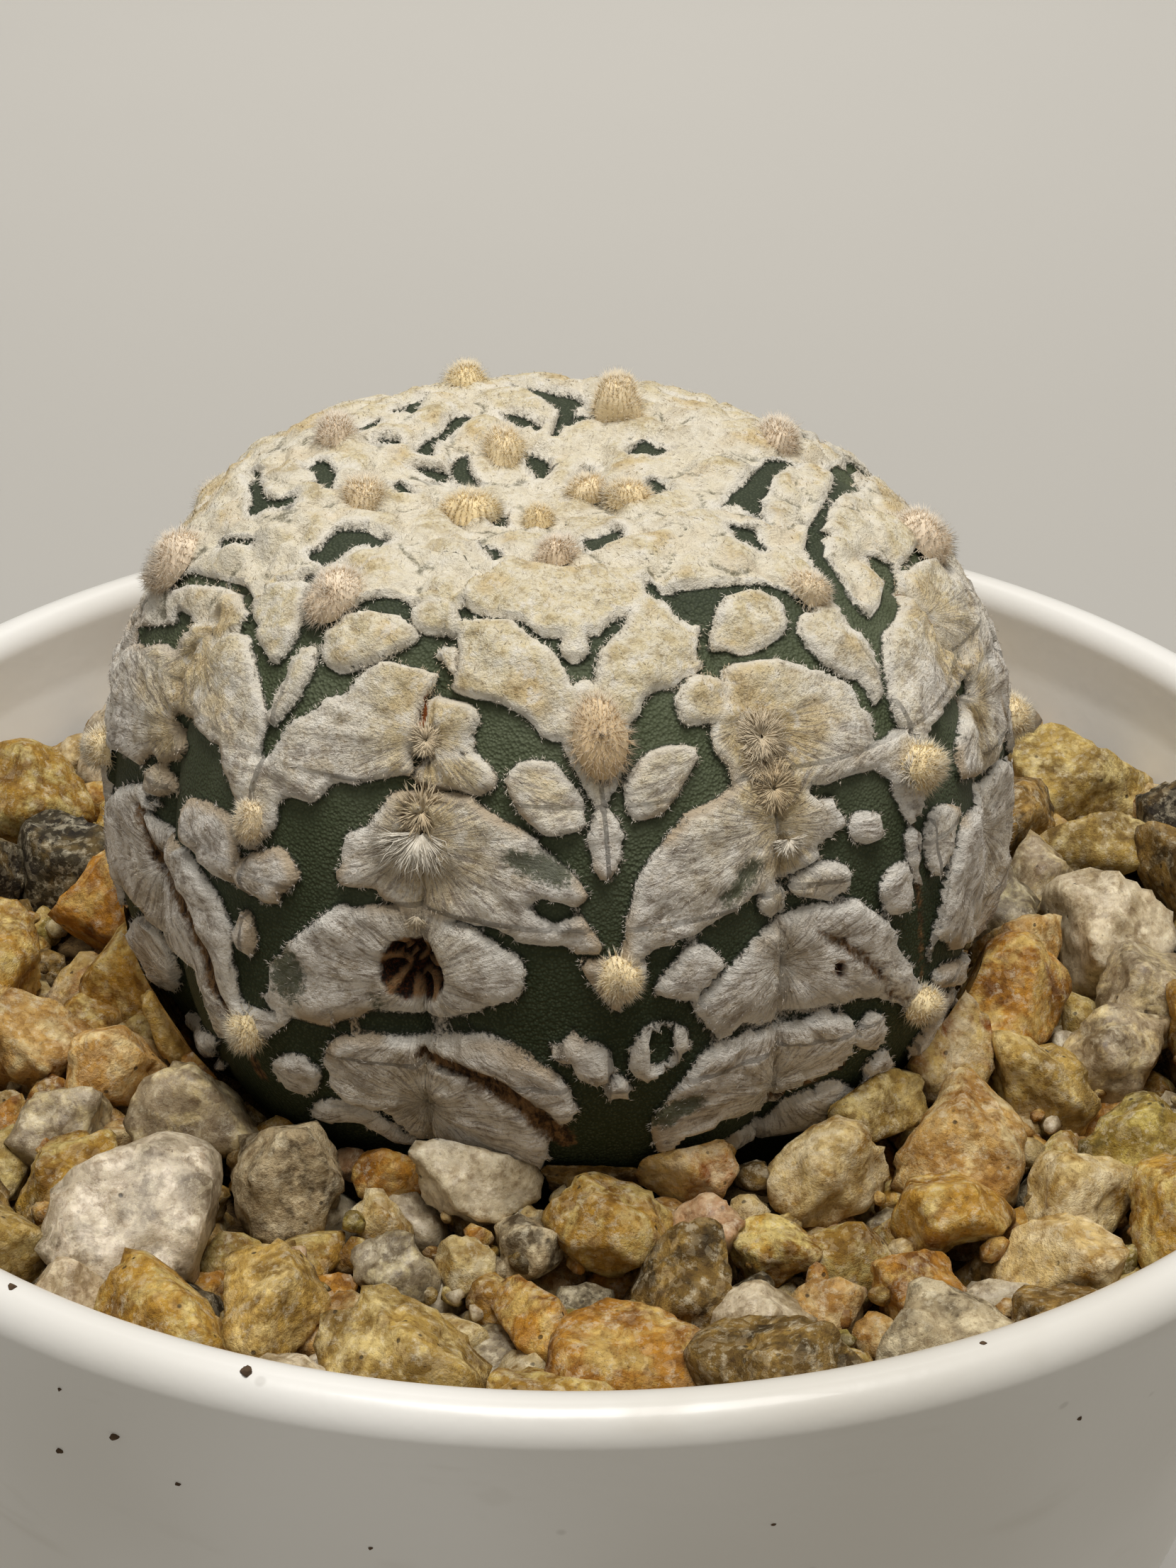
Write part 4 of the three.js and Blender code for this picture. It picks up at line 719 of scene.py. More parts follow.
def strokeGap(stroke, azimuth, polar):
    # distance to the stroke's edge, negative inside
    scale = np.radians(outlineRadius(polar))
    first = stroke[0][0]
    away = (first - azimuth + 180) % fullTurn - 180
    ends = [((away + (turn - first + 180) % fullTurn - 180) * scale,
             (down - polar) * plant["degreeLength"], width) for turn, down, width in stroke]
    gap = np.full(azimuth.shape, np.inf)
    for start, end in zip(ends, ends[1:] or ends):
        stepX, stepY = end[0] - start[0], end[1] - start[1]
        share = -(start[0] * stepX + start[1] * stepY) / (stepX ** 2 + stepY ** 2 + 1e-9)
        share = np.clip(share, 0, 1)
        here = np.hypot(start[0] + share * stepX, start[1] + share * stepY)
        gap = np.minimum(gap, here - start[2] - (end[2] - start[2]) * share)
    return gap


def outlineGap(outline, azimuth, polar):
    # distance to a smooth closed curve through the outline's points, negative inside
    points = np.array(outline, float)
    before, after = np.roll(points, 1, 0), np.roll(points, -1, 0)
    between = (9 * (points + after) - before - np.roll(points, -2, 0)) / 16
    curve = np.stack([points, between], 1).reshape(-1, 2)
    scale = np.radians(outlineRadius(polar))
    gap = np.full(azimuth.shape, np.inf)
    isInside = np.zeros(azimuth.shape, bool)
    for start, end in zip(curve, np.roll(curve, -1, 0)):
        x, y = (start[0] - azimuth) * scale, (start[1] - polar) * plant["degreeLength"]
        stepX, stepY = (end[0] - start[0]) * scale, (end[1] - start[1]) * plant["degreeLength"]
        share = np.clip(-(x * stepX + y * stepY) / (stepX ** 2 + stepY ** 2 + 1e-9), 0, 1)
        gap = np.minimum(gap, np.hypot(x + share * stepX, y + share * stepY))
        if stepY != 0:
            isInside ^= ((y > 0) != (y + stepY > 0)) & (x - y * stepX / stepY > 0)
    return np.where(isInside, -gap, gap)


def nearestGap(shapes, azimuth, polar, measure):
    # the nearest of many shapes over a grid, each worked out only round itself
    gap = np.full(azimuth.shape, reach)
    downs, turns = polar[:, 0], azimuth[0]
    for shape in shapes:
        low = min(point[1] for point in shape) - reach / plant["degreeLength"]
        high = max(point[1] for point in shape) + reach / plant["degreeLength"]
        rows = np.nonzero((downs > low) & (downs < high))[0]
        narrow = max(math.radians(float(outlineRadius(np.array(max(low, 6))))), 0.03)
        first = shape[0][0]
        spread = max(abs((point[0] - first + 180) % fullTurn - 180) for point in shape)
        away = (turns - first + 180) % fullTurn - 180
        columns = np.nonzero(np.abs(away) < spread + reach / narrow)[0]
        if len(rows) == 0 or len(columns) == 0:
            continue
        window = np.ix_(rows, columns)
        here = measure(shape, first + np.tile(away[columns], (len(rows), 1)), polar[window])
        gap[window] = np.minimum(gap[window], here)
    return gap


def strokesGap(strokes, azimuth, polar):
    return nearestGap(strokes, azimuth, polar, strokeGap)


def aboutCentres(centres, azimuth, polar):
    # the nearest centre's number, how far it is in millimetres and in which direction
    centres = np.array(centres, float)
    scale = np.radians(outlineRadius(polar))[..., None]
    across = ((azimuth[..., None] - centres[:, 0] + 180) % fullTurn - 180) * scale
    down = (polar[..., None] - centres[:, 1]) * plant["degreeLength"]
    nearest = np.hypot(across, down).argmin(-1)[..., None]
    across, down = (np.take_along_axis(part, nearest, -1)[..., 0] for part in (across, down))
    return nearest[..., 0], np.hypot(across, down), np.arctan2(across, down)


# Skin and felt in one surface: the felt stands up from the skin in pillows
skin = {
    "frontCell": 0.18, "backCell": 0.3, "rowDegrees": 0.62, "fineDegrees": 112,
    "underRows": 10, "lastDegrees": 150, "firstDegrees": 1.5, "frontFrom": 240, "frontTo": 110,
    "outlineNoise": [(0.9, 0.07), (0.4, 0.05)], "crownNoise": [(1.7, 0.15), (0.75, 0.15), (0.4, 0.1)],
    "strandDepth": 0.12, "strandFrom": (38, 62), "strandTurns": 16, "gapWidening": 0.14,
    "seamDepth": 0.1, "seamWidth": 0.1, "seamWave": 0.45, "furHeight": 0.16, "furLumps": 0.28,
    "lobeDepth": 0.4, "lobeWidth": 1.1, "lobeWarp": 1,
    "scarDepth": 0.3, "craterDepth": 0.75, "petalHeight": 0.3,
    "green": "4a5239", "deepGreen": "212c15", "greyGreen": "5c634c", "speckle": "727a60",
    "cream": "e4d5ae", "white": "f1e8d0", "tan": "e0c793", "ochre": "c29e5e",
    "grey": "f1ebe2", "streak": "a2978b", "brown": "5a3a1e", "darkBrown": "2c1a0e", "rust": "8a4a1c",
}
# Rings of lobes in the crown's felt, as degrees down and how many
lobeRings = [(6, 5), (14, 9), (22, 14), (30, 18), (38.5, 22), (47, 26)]
# The felt's strands fan out from places on the grooves
fanCentres = [[groove, down] for groove in grooves for down in (56, 70, 86, 101)]
feltStrokes = placedStrokes()


def skinGrid():
    # azimuths run along the columns, finer in front than behind; degrees down along the rows
    azimuths = []
    for start, width in zip(grooves, ribWidths):
        middle = (start + width / 2) % fullTurn
        isFront = middle > skin["frontFrom"] or middle < skin["frontTo"]
        cell = skin["frontCell"] if isFront else skin["backCell"]
        count = round(math.radians(width) * plant["radius"] / cell)
        azimuths.extend(start + width * np.arange(count) / count)
    count = round((skin["fineDegrees"] - skin["firstDegrees"]) / skin["rowDegrees"])
    fine = np.linspace(skin["firstDegrees"], skin["fineDegrees"], count)
    under = np.linspace(skin["fineDegrees"], skin["lastDegrees"], skin["underRows"] + 1)[1:]
    return np.meshgrid(azimuths, np.concatenate([fine, under]))


def feltGap(azimuth, polar):
    # negative on felt, positive on bare skin, in millimetres
    turn = (azimuth + 180) % fullTurn - 180
    crown = (polar - np.interp(turn, *zip(*crownLimit))) * plant["degreeLength"]
    behind = strokesGap(feltStrokes, azimuth, polar)
    traced = np.minimum(turn - plant["tracedFrom"], plant["tracedTo"] - turn)
    behind = behind + reach * eased(traced, 0, plant["tracedBlend"])
    front = nearestGap(frontPatches, azimuth, polar, outlineGap)
    spots = bodyPoint(azimuth, polar)
    rough = sum(height * lumps(spots, size, seed)
                for seed, (size, height) in enumerate(skin["outlineNoise"]))
    felt = np.minimum(np.minimum(crown, behind), front) + rough
    return np.maximum(felt, skin["gapWidening"] + rough / 2 - strokesGap(bareGaps, azimuth, polar))


def feltLift(gap):
    edge = np.sin(np.clip(-gap / plant["edgeSlope"], 0, 1) * math.pi / 2)
    pillow = np.sin(np.clip(-gap / plant["pillowWidth"], 0, 1) * math.pi / 2)
    return plant["feltEdge"] * edge + plant["feltPillow"] * pillow


def drawnToEdge(azimuth, polar, gap):
    # places close to the felt's edge move onto it, so that the step follows the edge
    rowStep = np.gradient(polar[:, 0])[:, None]
    columnStep = np.gradient(azimuth[0])[None]
    downSlope = np.gradient(gap, axis=0) / (rowStep * plant["degreeLength"])
    acrossLength = columnStep * np.radians(outlineRadius(polar))
    acrossSlope = np.gradient(gap, axis=1) / acrossLength
    steep = np.maximum(downSlope ** 2 + acrossSlope ** 2, 0.2)
    near = np.abs(gap) < 0.12
    shiftDown = np.where(near, -gap * downSlope / steep, 0) / plant["degreeLength"]
    shiftAcross = np.where(near, -gap * acrossSlope / steep, 0) / np.radians(outlineRadius(polar))
    limitDown, limitAcross = 0.42 * rowStep, 0.42 * columnStep
    return (azimuth + np.clip(shiftAcross, -limitAcross, limitAcross),
            polar + np.clip(shiftDown, -limitDown, limitDown))


def seamGap(azimuth, polar):
    # distance to the nearest groove line, which waves a little
    away = (azimuth[..., None] - grooves + 180) % fullTurn - 180
    nearest = np.take_along_axis(away, np.abs(away).argmin(-1)[..., None], -1)[..., 0]
    wave = skin["seamWave"] * lumps(bodyPoint(azimuth, polar), 1.5, 40)
    return np.abs(nearest * np.radians(outlineRadius(polar)) + wave)


def lobeGap(azimuth, polar, base):
    # distance to the nearest border between lobes of the crown's felt, large below the crown
    change = patternRandom()
    warp = np.stack([lumps(base, 1.6, seed) for seed in (31, 32, 33)], -1)
    warped = base + skin["lobeWarp"] * warp
    first, second = np.full(polar.shape, np.inf), np.full(polar.shape, np.inf)
    for down, count in lobeRings:
        for number in range(count):
            turn = (number + 0.35 * next(change)) * fullTurn / count
            centre = bodyPoint(np.array(turn), np.array(down + 1.6 * next(change)))
            away = np.linalg.norm(warped - centre, axis=-1)
            second = np.minimum(second, np.maximum(first, away))
            first = np.minimum(first, away)
    turn = (azimuth + 180) % fullTurn - 180
    below = eased(polar - np.interp(turn, *zip(*crownLimit)), -3, 1)
    return (second - first) / 2 + reach * below


def skinSurface():
    # everything that the pieces of the plant need to know about its surface
    azimuth, polar = skinGrid()
    azimuth, polar = drawnToEdge(azimuth, polar, feltGap(azimuth, polar))
    gap = feltGap(azimuth, polar)
    gap = np.where(polar > skin["fineDegrees"], np.maximum(gap, 1), gap)
    seam = seamGap(azimuth, polar)
    scar, crater, rust, worn, crack = (
        strokesGap(strokes, azimuth, polar) for strokes in (scars, craters, rustCracks, wornFelt, feltCracks))
    base, normal = bodyPoint(azimuth, polar), bodyNormal(azimuth, polar)
    number, far, turn = aboutCentres(fanCentres, azimuth, polar)
    combed = np.stack([far * 0.9 + number * 7.3, np.cos(turn) * skin["strandTurns"],
                       np.sin(turn) * skin["strandTurns"]], -1)
    _, _, petalTurn = aboutCentres([np.mean(stroke, 0) for stroke in craters], azimuth, polar)
    petal = np.cos(petalTurn * petals + 1.6 * lumps(base, 0.7, 43))
    isCombed = eased(polar, *skin["strandFrom"])
    soft = sum(height * lumps(base, size, seed + 3)
               for seed, (size, height) in enumerate(skin["crownNoise"]))
    strand = lumps(combed * [0.5, 0.4, 0.4], 1, 17)
    isFelt = eased(-gap, 0, 0.2)
    lobe = lobeGap(azimuth, polar, base)
    fur = np.exp(-(seam / 0.8) ** 2) * eased(polar, 42, 50) * (1 - eased(polar, 70, 80))
    soft += fur * (skin["furHeight"] + skin["furLumps"] * lumps(base, 0.6, 41))
    soft -= skin["lobeDepth"] * (1 - np.sqrt(eased(lobe, -0.05, skin["lobeWidth"])))
    lift = feltLift(gap) + isFelt * (soft * (1 - 0.3 * isCombed) + skin["strandDepth"] * strand * isCombed)
    lift -= skin["seamDepth"] * isFelt * eased(-seam, -skin["seamWidth"] * 2, 0) * eased(polar, 74, 84)
    lift -= skin["scarDepth"] * eased(-scar, -0.15, 0.3) * isFelt
    lift -= (skin["craterDepth"] - skin["petalHeight"] * petal) * eased(-crater, -0.1, 0.5)
    lift -= 0.3 * eased(-rust, -0.08, 0.05) * isFelt
    lift -= 0.14 * eased(-crack, -0.12, 0.02) * isFelt
    lift -= 0.2 * eased(-worn + 0.4 * lumps(base, 0.5, 9), -0.1, 0.4) * isFelt
    lift = np.maximum(lift, -0.6)
    return {"azimuth": azimuth, "polar": polar, "gap": gap, "combed": combed, "seam": seam,
            "scar": scar, "crater": crater, "rust": rust, "worn": worn, "crack": crack,
            "petal": petal, "lobe": lobe, "base": base, "normal": normal, "point": base + normal * lift[..., None],
            "felt": isFelt, "turn": turn}


def skinFields(surface):
    # how warm, grey and stained the felt is, from place to place
    base, polar = surface["base"], surface["polar"]
    side = eased(polar, 40, 80)
    seamWarmth = np.exp(-(surface["seam"] / 1.9) ** 2) * eased(polar, 38, 48) * (1 - 0.7 * eased(polar, 72, 84))
    mottle = eased(lumps(base, 1.9, 4) + 0.6 * lumps(base, 0.8, 6), -0.1, 0.8)
    inner = eased(-surface["gap"], 0.1, 0.8)
    warm = np.clip(mottle * inner * (1 - 0.8 * side) + seamWarmth * 0.85, 0, 1)
    grey = np.clip(side + 0.35 * lumps(base, 2.5, 8) - 0.6 * seamWarmth, 0, 1)
    brownEdge = eased(lumps(base, 3.2, 12), 0.15, 0.5) * side
    kept = {name: surface[name].ravel() for name in ("gap", "seam", "scar", "crater", "rust", "worn",
                                                     "crack", "petal", "lobe")}
    return {**kept, "warm": warm.ravel(), "grey": grey.ravel(), "brownEdge": brownEdge.ravel(),
            "down": polar.ravel(), "combed": surface["combed"].reshape(-1, 3)}


def feltColour(finish, spot, fibres):
    # cream felt mottled with tan in the crown, greyer and streaked lower down
    suede = finish.noise(spot, 0.55, 4, 0.7)
    cream = finish.mixed(finish.rise(suede, 0.35, 0.65), shade(skin["cream"]), shade(skin["white"]))
    colour = finish.mixed(finish.field("grey"), cream, shade(skin["grey"]))
    stain = finish.rise(finish.field("warm") + finish.noise(spot, 0.4, 4, 0.65) * 0.9 - 0.45, 0.12, 0.85)
    colour = finish.mixed(stain * 0.65, colour, shade(skin["tan"]))
    deep = finish.rise(finish.field("warm") * finish.noise(spot, 0.45, 3, 0.7), 0.42, 0.62)
    colour = finish.mixed(deep * 0.3, colour, shade(skin["ochre"]))
    streaks = finish.rise(fibres, 0.54, 0.36) * finish.rise(finish.field("down"), 42, 66)
    colour = finish.mixed(streaks * 0.85, colour, shade(skin["streak"]))
    fuzz = finish.noise(spot, 0.2, 4, 0.8)
    colour = finish.mixed(finish.rise(fuzz, 0.5, 0.34) * 0.6, colour, shade("a38f6e"), "MULTIPLY")
    cloud = finish.noise(spot, 0.85, 4, 0.7)
    colour = finish.mixed(finish.rise(cloud, 0.5, 0.34) * 0.5, colour, shade("b8a888"), "MULTIPLY")
    colour = finish.mixed(finish.rise(cloud, 0.52, 0.66) * 0.6, colour, shade("faf5ea"))
    lobe = finish.field("lobe") + (fuzz - 0.5) * 0.5
    colour = finish.mixed(finish.rise(lobe, 0.7, 0.3) * 0.55, colour, shade("f5eedd"))
    # Painted shade: dark lines along the creases between the lobes of the crown's felt.
    creaseShade = finish.rise(lobe, 0.14, 0) * finish.rise(finish.noise(spot, 2.2, 2), 0.46, 0.54)
    colour = finish.mixed(creaseShade * 0.75, colour, shade("5d5940"))
    soiled = finish.rise(finish.noise(spot, 1.6, 4, 0.7), 0.48, 0.68)
    return finish.mixed(soiled * finish.rise(finish.field("down"), 62, 92) * 0.6, colour, shade("84735c"))


def skinFinish():
    finish = Finish("felted_skin", {"Roughness": 0.8, "Specular IOR Level": 0.25})
    spot = finish.place()
    grain = finish.noise(spot, 0.13, 3, 0.7)
    fibres = finish.noise(finish.field("combed", "Vector"), 1, 3, 0.65, 0.5)
    gap = finish.field("gap")
    felt = finish.rise(gap + (grain - 0.5) * 0.24, 0.03, -0.04)

    pebble = finish.cells(spot, 0.13)
    green = finish.mixed(finish.rise(finish.noise(spot, 3.2, 2), 0.3, 0.7),
                         shade(skin["green"]), shade(skin["greyGreen"]))
    green = finish.mixed(finish.rise(finish.field("down"), 58, 92) * 0.85, green,
                         shade(skin["deepGreen"]))
    # Painted shade: the bare green is darkened towards the crown, where its narrow gaps between the felt lie in
    # shade.
    green = finish.mixed(finish.rise(finish.field("down"), 50, 34) * 0.8, green, shade("2b3325"))
    green = finish.mixed(finish.rise(pebble, 0.5, 0.2) * 0.22, green, shade(skin["speckle"]))
    # Painted shadow: a narrow near-black band on the green along the felt's edges, under the raised felt.
    green = finish.mixed(finish.rise(gap, 0.2, 0) * 0.55, green, shade("12170e"))

    wool = feltColour(finish, spot, fibres)
    rim = finish.rise(gap + (grain - 0.5) * 0.3, -0.5, -0.06)
    wool = finish.mixed(rim * 0.6, wool, shade("f6f1e6"))
    wool = finish.mixed(rim * finish.rise(finish.field("brownEdge"), 0.2, 0.8) * 0.6, wool,
                        shade("b08f58"))
    worn = finish.rise(finish.field("worn") + (finish.noise(spot, 0.22, 3, 0.7) - 0.5) * 1.3, 0.12, -0.3)
    wool = finish.mixed(worn * 0.85, wool, shade(skin["green"]))
    crack = finish.rise(finish.field("crack") + (grain - 0.5) * 0.08, 0.04, -0.01)
    wool = finish.mixed(crack * 0.85, wool, shade("3b3a2c"))
    colour = finish.mixed(felt, green, wool)

    cork = finish.rise(finish.field("scar") + (finish.noise(spot, 0.3, 3, 0.7) - 0.5) * 0.7, 0.1, -0.22)
    corky = finish.mixed(finish.rise(finish.noise(finish.stretched(spot, (1, 1, 0.5)), 0.3, 4, 0.7),
                                     0.35, 0.65), shade(skin["darkBrown"]), shade("8b6a45"))
    colour = finish.mixed(cork, colour, corky)
    pit = finish.rise(finish.field("crater") + (finish.noise(spot, 0.4, 2) - 0.5) * 0.3, 0.08, -0.12)
    ridge = finish.rise(finish.field("petal") + (grain - 0.5) * 1.2, -0.2, 0.7)
    inside = finish.mixed(ridge, shade("1c110a"), shade("a07d56"))
    inside = finish.mixed(finish.rise(grain, 0.45, 0.7) * 0.5, inside, shade(skin["rust"]))
    colour = finish.mixed(pit, colour, inside)
    rust = finish.rise(finish.field("rust") + (finish.noise(spot, 0.3, 2) - 0.5) * 0.18, 0.05, -0.03)
    colour = finish.mixed(rust, colour, shade(skin["rust"]))
    broken = finish.rise(finish.noise(finish.stretched(spot, (1, 1, 0.7)), 1.1, 2), 0.42, 0.55)
    seamLine = finish.rise(finish.field("seam") + (finish.noise(spot, 0.45, 2) - 0.5) * 0.14,
                           0.08, 0.01)
    lower = finish.rise(finish.field("down"), 76, 84)
    colour = finish.mixed(seamLine * broken * felt * lower * 0.6, colour, shade("5a4630"))
    finish.give("Base Color", colour)
    finish.give("Roughness", felt * 0.25 + grain * 0.1 + 0.6)
    streaks = fibres * finish.rise(finish.field("down"), 42, 66)
    relief = felt * (streaks * 0.6 + finish.noise(spot, 0.22, 4, 0.75) * 0.9) + (1 - felt) * pebble * 0.4
    finish.bump(relief, 0.2)
    return finish


def makeSkin(surface):
    rows, columns = surface["azimuth"].shape
    points = surface["point"].reshape(-1, 3)
    poles = np.stack([points[:columns].mean(0), points[-columns:].mean(0)])
    faces = gridFaces(rows, columns, True)
    ring = np.arange(columns)
    after = (ring + 1) % columns
    top, bottom = rows * columns, rows * columns + 1
    last = (rows - 1) * columns
    caps = np.concatenate([np.stack([np.full(columns, top), ring, after], -1),
                           np.stack([np.full(columns, bottom), last + after, last + ring], -1)])
    fields = {name: np.concatenate([values, values[:1], values[-1:]])
              for name, values in skinFields(surface).items()}
    piece = meshPiece("plant_body", np.concatenate([points, poles]), [faces, caps], fields)
    return fitted(piece, skinFinish(), "cactus")


# Short hairs of the felt: a fringe along its edges and a nap over it
hair = {
    "seed": 3, "fringe": 34000, "nap": 18000, "fringeLength": (0.08, 0.2), "napLength": (0.14, 0.36),
    "fringeWidth": 0.034, "napWidth": 0.036, "fringeBand": (-0.14, -0.01), "lastDegrees": 108,
    "napInside": 0.3,
    "flatFrom": 0.05, "fanWidth": 0.055, "fanHeight": 0.7, "fringeRise": 0.6, "napRise": 0.7,
}
# Tufts of longer hairs that fan out over the felt, as [azimuth, degrees down, number of hairs,
# how wide the fan is in degrees, longest, warmth]
fans = [[-17.3, 69.2, 480, 85, 2, 0], [-17.3, 66.5, 260, 180, 0.9, 0.9],
        [29.3, 58.5, 420, 180, 0.9, 0.7], [28.6, 62, 420, 180, 0.9, 0.7], [29, 65.5, 320, 180, 0.9, 1], [-17.5, 57, 220, 180, 0.6, 0.8], [30, 72, 200, 100, 0.6, 0.1], [6.8, 84, 160, 180, 0.45, 0.2],
        [47.5, 68, 200, 180, 0.6, 0.1], [-17.4, 79, 140, 60, 0.5, 0.6], [215, 58, 260, 180, 0.6, 0.5],
        [141, 60, 220, 180, 0.5, 0.4]]


def hairFinish():
    finish = Finish("felt_hairs", {"Roughness": 0.7, "Specular IOR Level": 0.25})
    spot = finish.place()
    cream = finish.mixed(finish.field("grey"), shade("f2ebdc"), shade("ddd5cb"))
    warm = finish.mixed(finish.field("warm") * 0.75, cream, shade("d6bd90"))
    finish.give("Base Color", finish.mixed(finish.rise(finish.noise(spot, 0.3), 0.4, 0.7) * 0.5, warm,
                                           shade("a89a80")))
    return finish


def makeFeltHairs(surface):
    random = np.random.default_rng(hair["seed"])
    fields = skinFields(surface)
    points, normals = surface["point"].reshape(-1, 3), surface["normal"].reshape(-1, 3)
    gap, polar = surface["gap"], surface["polar"]
    rowSide = np.gradient(surface["point"], axis=0)
    columnSide = np.gradient(surface["point"], axis=1)
    area = np.linalg.norm(np.cross(rowSide, columnSide), axis=-1)
    down, across = np.gradient(gap, axis=0), np.gradient(gap, axis=1)
    outward = (down[..., None] * rowSide / (rowSide ** 2).sum(-1, keepdims=True)
               + across[..., None] * columnSide / (columnSide ** 2).sum(-1, keepdims=True))
    outward = unit(outward).reshape(-1, 3)
    combing = (unit(rowSide) * np.cos(surface["turn"])[..., None]
               + unit(columnSide) * np.sin(surface["turn"])[..., None]).reshape(-1, 3)
    rooted = (surface["scar"] > 0.1) & (surface["crater"] > 0) & (polar < hair["lastDegrees"])
    low, high = hair["fringeBand"]
    chosen = []
    for isThere, count in [((gap > low) & (gap < high), hair["fringe"]), (gap < -hair["napInside"], hair["nap"])]:
        weight = (area * (isThere & rooted)).ravel()
        chosen.append(random.choice(weight.size, count, p=weight / weight.sum()))
    parts = []
    for index, name in zip(chosen, ("fringe", "nap")):
        isFringe = name == "fringe"
        normal = normals[index]
        along = outward[index] if isFringe else combing[index]
        aim = unit(along + random.normal(0, 0.55, (len(index), 3)))
        flat = unit(aim - (aim * normal).sum(-1, keepdims=True) * normal)
        rise = random.uniform(hair["flatFrom"], hair[name + "Rise"], len(index))[:, None]
        jitter = random.uniform(-0.1, 0.1, (len(index), 3))
        roots = points[index] + jitter - (jitter * normal).sum(-1, keepdims=True) * normal
        lengths = random.uniform(*hair[name + "Length"], len(index))
        widths = np.full(len(index), hair[name + "Width"])
        parts.append((roots - normal * 0.03, unit(flat + normal * rise), lengths, widths, index))
    for name, part in zip(("fringe", "nap"), parts):
        roots, directions, lengths, widths, index = part
        spots, faces, _ = strands(roots, directions, lengths, widths)
        each = len(spots) // len(index)
        own = {field: np.repeat(fields[field][index], each) for field in ("warm", "grey")}
        piece = meshPiece("felt_" + name, spots, [faces], own)
        fitted(piece, hairFinish(), "cactus")


def makeFans():
    random = np.random.default_rng(hair["seed"] + 1)
    points, faces, warmth = [], [], []
    total = 0
    for azimuth, polar, count, wide, longest, warm in fans:
        here, downHere = np.full(count, float(azimuth)), np.full(count, float(polar))
        normal = bodyNormal(here, downHere)
        down = bodyPoint(here, downHere + 1) - bodyPoint(here, downHere)
        down = unit(down - (down * normal).sum(-1, keepdims=True) * normal)
        side = np.cross(normal, down)
        turn = np.radians(random.uniform(-wide, wide, count))[:, None]
        aim = down * np.cos(turn) + side * np.sin(turn)
        start = random.uniform(0.08, 0.6, count)[:, None] * min(longest, 1)
        rise = random.uniform(0.1, 0.45, count)[:, None]
        roots = bodyPoint(here, downHere) + aim * start + normal * hair["fanHeight"]
        bends = random.normal(0, 0.3, (count, 3)) - normal * 0.3
        lengths = random.uniform(0.4, 1, count) * longest
        spots, corners, _ = strands(roots, unit(aim + normal * rise), lengths,
                                    np.full(count, hair["fanWidth"]), bends)
        points.append(spots)
        faces.append(corners + total)
        total += len(spots)
        warmth.append(np.full(len(spots), float(warm)))
    fields = {"warm": np.concatenate(warmth), "grey": np.full(total, 0.1)}
    piece = meshPiece("hair_fans", np.concatenate(points), [np.concatenate(faces)], fields)
    fitted(piece, hairFinish(), "cactus")


# Woolly areoles: soft domes of fine strands
wool = {
    "seed": 8, "rings": 16, "sides": 26, "strands": 1050, "length": (0.3, 0.62), "width": 0.034,
    "sink": 0.35, "roughness": [(0.8, 0.16), (0.35, 0.06)], "core": 0.88,
    "tan": "ffeec2", "pink": "fbecd6", "brown": "e4cba0", "pale": "fffaf0", "deep": "d9b678",
}


def areoles():
    # [azimuth, degrees down, radius, height, stretch, tone] of each
    found = [list(spot) for spot in crownWool]
    for rib, (_, spots, side) in enumerate(ribPatterns):
        for across, polar, *rest in spots:
            found.append([grooves[rib] + ribWidths[rib] * (1 + side * across) / 2, polar, *rest])
    return found


def woolFinish():
    finish = Finish("areole_wool", {"Roughness": 0.9, "Sheen Weight": 0.15,
                                    "Sheen Roughness": 0.5, "Specular IOR Level": 0.15})
    spot = finish.place()
    tone = finish.field("tone")
    colour = finish.mixed(finish.rise(tone, 0, 1), shade(wool["tan"]), shade(wool["pink"]))
    colour = finish.mixed(finish.rise(tone, 1, 2), colour, shade(wool["brown"]))
    # Painted shade: the lower side of each woolly dome is painted darker tan, more so on the browner ones.
    lower = finish.rise(finish.field("lower"), 0.2, 1) * (finish.rise(tone, 0.6, 1.8) * 0.5 + 0.5)
    colour = finish.mixed(lower * 0.4, colour, shade(wool["deep"]))
    colour = finish.mixed(finish.field("tip") * 0.7, colour, shade(wool["pale"]))
    fine = finish.noise(spot, 0.1, 3, 0.7)
    finish.give("Base Color", finish.mixed(fine * 0.2, colour, shade("d8bd88"), "MULTIPLY"))
    finish.bump(fine, 0.03)
    return finish


